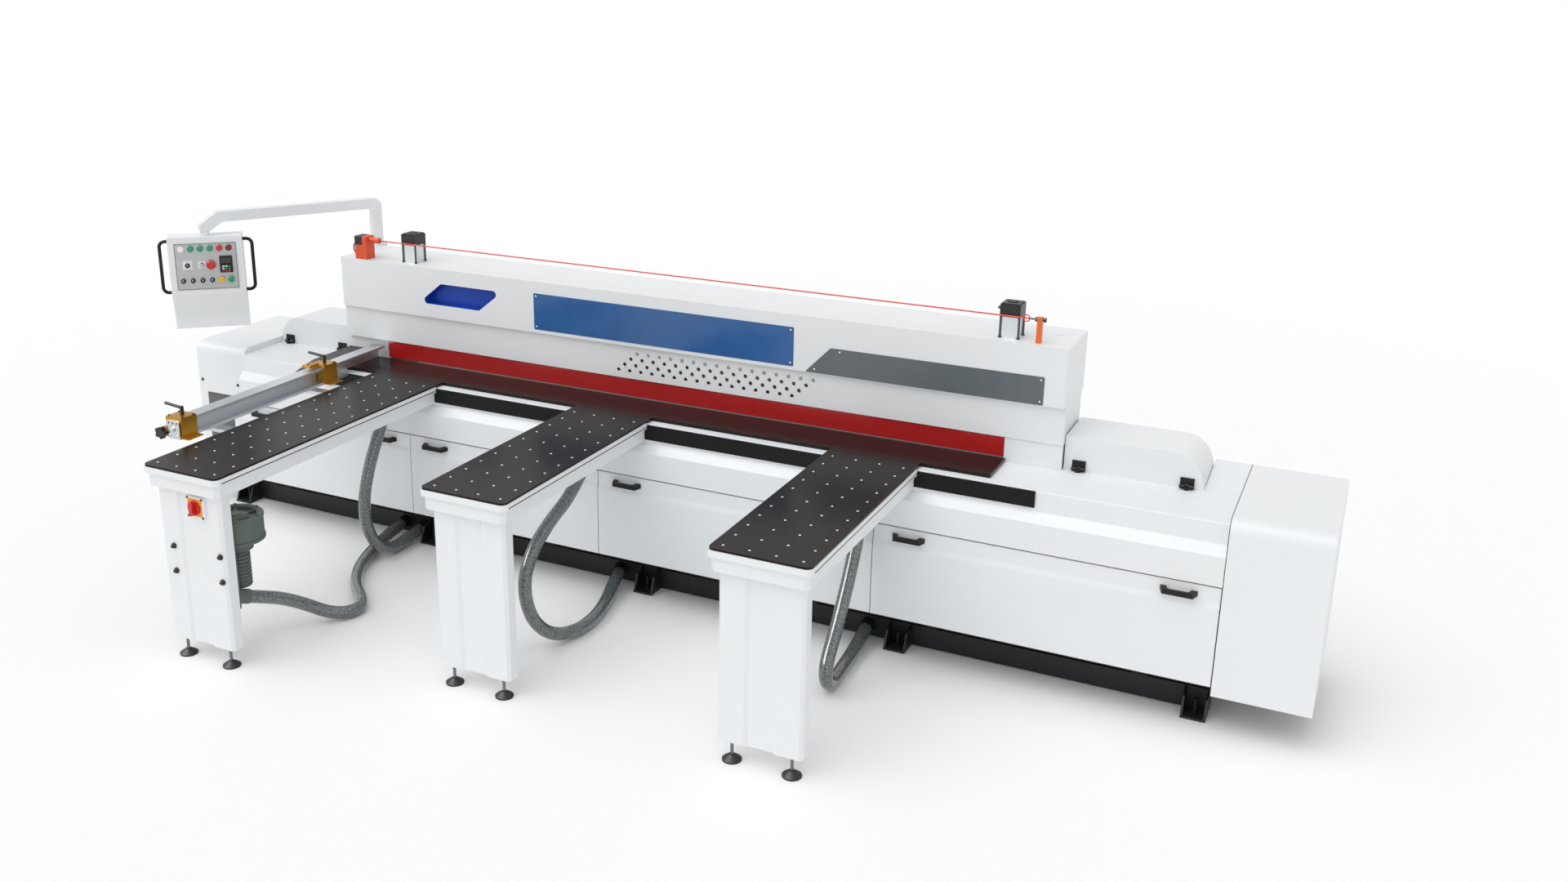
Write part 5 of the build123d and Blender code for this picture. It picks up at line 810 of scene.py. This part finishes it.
# Oiled steel is dark, and a film of oil keeps its highlights narrow.
oiled_steel = surface("oiled_steel", "5A5E61", "46494C", (0.25, 0.35), 3.0, metal=0.8)
bm = bmesh.new()
for x in CYLINDERS:
    for dx in (-ROD_AT, ROD_AT):
        for dy in (-ROD_AT, ROD_AT):
            turned(bm, ROD, upright((x + dx, CYLINDER_Y + dy, BARREL), UP), steps=10)
finish("cylinder_tie_rods", bm, oiled_steel, smooth=True)
bm = bmesh.new()
for x in CYLINDERS:
    top = upright((x, CYLINDER_Y, HEAD_TOP), UP)
    holed_plate(bm, top, *HEAD_PLATE)
    turned(bm, HEAD_DISC, top)
    side = upright((x - HEAD_HALF, CYLINDER_Y, HEAD_TOP - FITTING_DROP), LEFT)
    turned(bm, AIR_FITTING, side, steps=6)
finish("cylinder_heads", bm, black_plastic)

# %% [markdown]
# ## Pull rope fittings
# The emergency rope ends in a loop, which a thin steel screw holds at the post with a black nut. Its
# switch has a black lid and a conduit. The loop is a small circle of points, spun about the ring's axis.
# The conduit is a circle that is spun only half round, and its two ends are filled.

# %% Pull rope fittings
ROPE = (668.0, 1420.0)
EYE_X, EYE_R, EYE_WIRE = 1486.0, 13.0, 2.4
ROPE_SCREW = ((0, 0), (3.6, 0), (3.6, 22), (0, 22))
NUT = ((4.6, 0), (10, 0), (10, 8), (4.6, 8))
POST_LEFT, NUT_OUT = 1530.0, 8.2
CONDUIT_Z, CONDUIT_BEND, CONDUIT_R, CONDUIT_IN = 1372.0, 34.0, 3.2, 1.5
LID = ((-1821.5, 636.5, 1396.0), (-1776.0, 699.5, 1439.0))
LID_SCREWS, LID_SCREW_Z = (-1812.0, -1786.0), 1428.0
bm = bmesh.new()
wire = [(EYE_R + EYE_WIRE * math.cos(turn), EYE_WIRE * math.sin(turn))
        for turn in (math.pi * step / 4 for step in range(8))]
turned(bm, wire, upright((EYE_X, *ROPE), FORWARD), steps=20, ring=True)
finish("rope_loop", bm, rope_plastic, body="pull_rope", smooth=True)
bm = bmesh.new()
turned(bm, ROPE_SCREW, upright((EYE_X + EYE_R, *ROPE), RIGHT), steps=10)
finish("rope_screw", bm, oiled_steel, body="pull_rope", smooth=True)
bm = bmesh.new()
block(bm, *LID, edge=3.0)
for x in LID_SCREWS:
    turned(bm, SCREW, upright((x, LID[0][1], LID_SCREW_Z), FORWARD), steps=10)
finish("rope_switch_lid", bm, black_plastic)
bm = bmesh.new()
bend = Vector((LID[0][0] + CONDUIT_IN, ROPE[0], CONDUIT_Z)) * MM
above = bend + Vector((0, 0, CONDUIT_BEND * MM))
start = Matrix.Translation(above) @ Matrix.Rotation(math.pi / 2, 4, "Y")
made = bmesh.ops.create_circle(bm, segments=8, radius=CONDUIT_R * MM, matrix=start)
outline = list({side for vert in made["verts"] for side in vert.link_edges})
bmesh.ops.spin(bm, geom=made["verts"] + outline, cent=bend, axis=FORWARD, angle=math.pi, steps=12)
bmesh.ops.holes_fill(bm, edges=bm.edges, sides=0)
finish("rope_switch_conduit", bm, black_plastic, smooth=True)
bm = bmesh.new()
turned(bm, NUT, upright((POST_LEFT - NUT_OUT, *ROPE), RIGHT), steps=6, ring=True)
finish("rope_post_nut", bm, black_plastic)

# %% [markdown]
# ## Blower
# The blower is a side channel casting on a motor with cooling fins. The CAD part gives its masses. Spun
# rings give the rim, the dished lid and the fins, and short spokes join the lid to the rim.

# %% Blower details
BLOWER = (-1320.0, -769.0)
LID_Z, FOOT_Z = 575.05, 492.0
RIM = ((82, 0), (108, 0), (111, 5), (111, 13), (105, 18), (89, 18), (84, 13))
RIB = ((100, -9), (112, -6), (112, 6), (100, 9))
HUB = ((0, 0), (54, 0), (54, 6), (44, 12), (24, 12), (20, 18), (0, 18))
FIN = ((38, 0), (44, 1), (44, 5), (38, 6))
FIN_Z, FIN_PITCH, FINS = 284.0, 16.0, 10
SPOKES, SPOKE_TURN, SPOKE = 6, 15.0, ((51, -7, 0), (85, 7, 9))
BOLT, BOLT_AT = ((0, 0), (6, 0), (6, 5), (0, 5)), (97.0, 0.0, 18.0)
TERMINAL_TURN = -44.0
TERMINAL_BOX = ((34, -24, 316), (54, 24, 400))
TERMINAL_LID = ((53, -20, 320), (57, 20, 396))
bm = bmesh.new()
seat = upright((*BLOWER, LID_Z), UP)
turned(bm, RIM, seat, steps=40, ring=True)
turned(bm, HUB, seat, steps=28)
for step in range(SPOKES):
    spoke = seat @ Matrix.Rotation(math.radians(360 / SPOKES * step + SPOKE_TURN), 4, "Z")
    block(bm, *SPOKE, edge=2.0, seat=spoke)
    bolt = spoke @ Matrix.Translation([value * MM for value in BOLT_AT])
    turned(bm, BOLT, bolt, steps=6)
turned(bm, RIB, upright((*BLOWER, FOOT_Z), UP), steps=40, ring=True)
for step in range(FINS):
    fin = upright((*BLOWER, FIN_Z + step * FIN_PITCH), UP)
    turned(bm, FIN, fin, steps=28, ring=True)
box_seat = upright((*BLOWER, 0), UP) @ Matrix.Rotation(math.radians(TERMINAL_TURN), 4, "Z")
block(bm, *TERMINAL_BOX, edge=4.0, seat=box_seat)
block(bm, *TERMINAL_LID, edge=1.5, seat=box_seat)
finish("blower_casting", bm, cast_grey, smooth=True)

# %% [markdown]
# ## Fence and stops
# The fence is closed by a bolted end plate, and thin black discs on it are painted shade for its holes. A
# black plate with a pointed front end is fixed beside its rear end. The rear stop has a gold wing. Screws
# stand on both stops, and they ride on the stop, because it slides.

# %% Fence and stop details
FENCE = (-1748.5, -1679.5)
END_Y, END_T, END_Z = -680.05, 4.0, (821.0, 899.0)
END_BOSS, BOSS_Z = ((0, 0), (13, 0), (13, 2.5), (8, 2.5), (8, 9), (0, 9)), 862.0
END_SCREWS, END_SCREW_Z = (-22, 22), 834.0
# Thin black discs on the end plate are painted shade: they stand for its holes.
HOLE_SHADE_DISC, HOLE_SHADE_PLACES, HOLE_SHADE_Z = ((0, 0), (4.5, 0), (4.0, 0.4), (0, 0.4)), (-22, 0, 22), 889.0
WING, WING_SCREW = ((-1748, 132, 912.4), (-1701, 197, 924)), (-1726, 150, 924.1)
STOPS, STOP_TOP = {"front_stop": -634.0, "rear_stop": 240.0}, 912.4
STOP_SCREW_X, STOP_SCREW_Y = (-1754.0, -1676.0), (-28, 28)
SIDE_PLATE = (
    (-1787, 129), (-1780, 150), (-1780, 430), (-1748.2, 430), (-1748.2, 600), (-1780, 604), (-1858, 600),
    (-1853, 330), (-1839, 279))
SIDE_PLATE_Z, SIDE_PLATE_T, SIDE_SCREW = 885.0, 3.0, (-1846, 586)


def on_end(across, z):
    """A seat on the fence's end plate: millimetres from its middle, and above the floor."""
    return upright((sum(FENCE) / 2 + across, END_Y - END_T, z), FORWARD)


bm = bmesh.new()
block(bm, (FENCE[0], END_Y - END_T, END_Z[0]), (FENCE[1], END_Y, END_Z[1]), edge=1.0)
turned(bm, END_BOSS, on_end(0, BOSS_Z), steps=18)
for across in END_SCREWS:
    turned(bm, SCREW, on_end(across, END_SCREW_Z), steps=12)
finish("fence_end_plate", bm, bright, smooth=True)
# Painted shade for the holes in the end plate.
bm = bmesh.new()
for across in HOLE_SHADE_PLACES:
    turned(bm, HOLE_SHADE_DISC, on_end(across, HOLE_SHADE_Z), steps=12)
finish("fence_end_hole_shade", bm, black_plastic)
bm = bmesh.new()
block(bm, *WING, edge=2.0)
finish("rear_stop_wing", bm, gold, body="rear_stop")
bm = bmesh.new()
turned(bm, SCREW, upright(WING_SCREW, UP), steps=12)
finish("rear_stop_wing_screw", bm, black_plastic, body="rear_stop")
bm = bmesh.new()
sheet(bm, [(x, y, SIDE_PLATE_Z) for x, y in SIDE_PLATE], (0, 0, SIDE_PLATE_T))
turned(bm, SCREW, upright((*SIDE_SCREW, SIDE_PLATE_Z + SIDE_PLATE_T), UP), steps=12)
finish("fence_side_plate", bm, black_paint)
for name, y in STOPS.items():
    bm = bmesh.new()
    for x in STOP_SCREW_X:
        for dy in STOP_SCREW_Y:
            turned(bm, SCREW, upright((x, y + dy, STOP_TOP), UP), steps=12)
    finish(name + "_screws", bm, black_plastic, body=name)

# %% [markdown]
# ## Control pendant
# Buttons sit in bright bezels and have wide caps, and selectors carry a white pointer. All of them are laid
# out on the pendant's face, so one matrix with that face's three directions places them. What is on a
# knob rides on the knob.

# %% Face of the pendant
HANG, BOX_OUT = (-2.397, 0.241, 1.457), 0.050
turn = math.radians(PENDANT_YAW)
ACROSS = Vector((math.cos(turn), math.sin(turn), 0))
OUT = Vector((math.sin(turn), -math.cos(turn), 0))
FACE = Matrix((ACROSS, UP, OUT)).transposed().to_4x4()
FACE.translation = Vector(HANG) + OUT * BOX_OUT
PANEL_W, PANEL_H, PANEL_DROP, PANEL_OUT = 282.0, 225.0, 29.0, 2.25
COLUMNS = (30, 74, 118, 162, 206, 248)
ROWS = (25, 105, 180)
MODE_X, SPEED_X = 55, 120
SELECTORS = {"mode_selector": (MODE_X, ROWS[1])}
for number, column in enumerate(COLUMNS[:4], start=1):
    SELECTORS[f"selector_{number}"] = (column, ROWS[2])


def on_panel(column, row, out=PANEL_OUT):
    """A seat on the panel: millimetres from its left edge, below its top and out of it."""
    return FACE @ Matrix.Translation(((column - PANEL_W / 2) * MM, (-PANEL_DROP - row) * MM, out * MM))


print("panel of", PANEL_W, "by", PANEL_H, "mm with", len(SELECTORS), "selectors")

# %% Bezels and caps
BEZEL = ((9.6, 0), (13.0, 0), (13.0, 2.2), (11.2, 4.2), (9.6, 4.2))
PANEL_SCREW, SCREW_IN = ((0, 0), (3.6, 0), (3.0, 1.4), (0, 1.8)), 8
bm = bmesh.new()
for columns, row in ((COLUMNS, ROWS[0]), (COLUMNS[4:], ROWS[2])):
    for column in columns:
        turned(bm, BEZEL, on_panel(column, row), steps=20, ring=True)
for column in (SCREW_IN, PANEL_W - SCREW_IN):
    for row in (SCREW_IN, PANEL_H - SCREW_IN):
        turned(bm, PANEL_SCREW, on_panel(column, row), steps=10)
finish("pendant_bezels", bm, bright, body="pendant_box", smooth=True)

# Each push button has a wide cap, and the lamp a white lens.
BUTTON_CAP = ((0, 0), (15.0, 0), (15.0, 1.6), (13.5, 2.8), (0, 3.2))
CAP_OUT, LENS_OUT = 12.05, 9.05
# Each button has its colour, its column and its row.
BUTTONS = {
    "green_button_1": ("green", 1, 0), "green_button_2": ("green", 2, 0),
    "green_button_3": ("green", 3, 0), "red_button": ("red", 4, 0), "dark_red_button": ("dark_red", 5, 0),
    "yellow_button": ("yellow", 4, 2), "green_button_4": ("green", 5, 2)}
for name, (colour, column, row) in BUTTONS.items():
    bm = bmesh.new()
    turned(bm, BUTTON_CAP, on_panel(COLUMNS[column], ROWS[row], CAP_OUT), steps=20)
    finish(name + "_cap", bm, moulded[colour], body=name, smooth=True)
bm = bmesh.new()
turned(bm, BUTTON_CAP, on_panel(COLUMNS[0], ROWS[0], LENS_OUT), steps=20)
finish("lamp_lens", bm, nylon, body="pendant_box", smooth=True)

# %% Panel gasket, dials and pointers
# A grey gasket runs round the panel's edge. It is ABS, moulded, with a dull even sheen.
GASKET, GASKET_H = 4.0, 1.0
DIALS, DIAL_HOLE, DIAL_T = ((MODE_X, 21.0), (SPEED_X, 17.0)), 8.0, 0.8
KNOB_FACE, POINTER = 20.25, ((-1.6, -1.0, 0), (1.6, 8.0, 0.8))
SPEED_FACE, SPEED_CAP = 16.25, ((0, 0), (7.5, 0), (7.5, 1.0), (0, 1.4))
grey_abs = surface("grey_abs", "8C9093", "7B7F82", (0.35, 0.45), 1.5, bump=0.05)
bm = bmesh.new()
rings = []
for inset in (0.0, GASKET):
    right, low = PANEL_W - inset, PANEL_H - inset
    corners = ((inset, inset), (right, inset), (right, low), (inset, low))
    rings.append([bm.verts.new(on_panel(*corner).translation) for corner in corners])
for side in range(len(corners)):
    after = (side + 1) % len(corners)
    bm.faces.new((rings[0][side], rings[0][after], rings[1][after], rings[1][side]))
thicken(bm, list(bm.faces), OUT * GASKET_H * MM)
finish("pendant_gasket", bm, grey_abs, body="pendant_box")

bm = bmesh.new()
for column, half in DIALS:
    holed_plate(bm, on_panel(column, ROWS[1]), half, DIAL_HOLE, DIAL_T)
finish("pendant_dials", bm, nylon, body="pendant_box")

for name, (column, row) in SELECTORS.items():
    bm = bmesh.new()
    block(bm, *POINTER, edge=0.3, seat=on_panel(column, row, KNOB_FACE))
    finish(name + "_pointer", bm, nylon, body=name)
bm = bmesh.new()
turned(bm, SPEED_CAP, on_panel(SPEED_X, ROWS[1], SPEED_FACE), steps=20)
finish("speed_knob_cap", bm, bright, body="speed_knob", smooth=True)

# %% [markdown]
# ## Counter
# The black counter on the pendant has a dark display and nine small rubber keys. Keys of one colour are
# made as one piece, so that each piece has one material.

# %% Counter on the pendant
COUNTER, COUNTER_OUT = (231.0, 105.0), 13.25
PALE, GREEN, GREY, RED = "E6E6E4", "2F8F55", "5A5C5E", "C03A34"
KEYS = ((PALE, PALE, GREEN), (PALE, GREEN, GREEN), (GREY, RED, RED))
KEY_LEFT, KEY_TOP, KEY_ACROSS, KEY_DOWN = -19, -6, 14, 11
KEY_W, KEY_H, KEY_T = 10, 7, 1.6
DISPLAY = ((-24, 6, 0), (24, 33, 0.8))
# The display is smoked and polished, so it is nearly black with a sharp reflection. The keys are dull
# silicone rubber.
display = surface("smoked_display", "16201C", "0E1512", (0.08, 0.14), 20.0, coat=0.4)
bm = bmesh.new()
face = on_panel(*COUNTER, COUNTER_OUT)
block(bm, *DISPLAY, edge=0.4, seat=face)
finish("counter_display", bm, display, body="pendant_box")
for code in sorted({code for keys in KEYS for code in keys}):
    bm = bmesh.new()
    for line, keys in enumerate(KEYS):
        for place, key in enumerate(keys):
            if key == code:
                x, y = KEY_LEFT + place * KEY_ACROSS, KEY_TOP - line * KEY_DOWN
                block(bm, (x, y - KEY_H, 0), (x + KEY_W, y, KEY_T), edge=0.6, seat=face)
    rubber = surface("key_rubber_" + code, code, code, (0.45, 0.55), 1.0, bump=0.05)
    finish("counter_keys_" + code, bm, rubber, body="pendant_box")
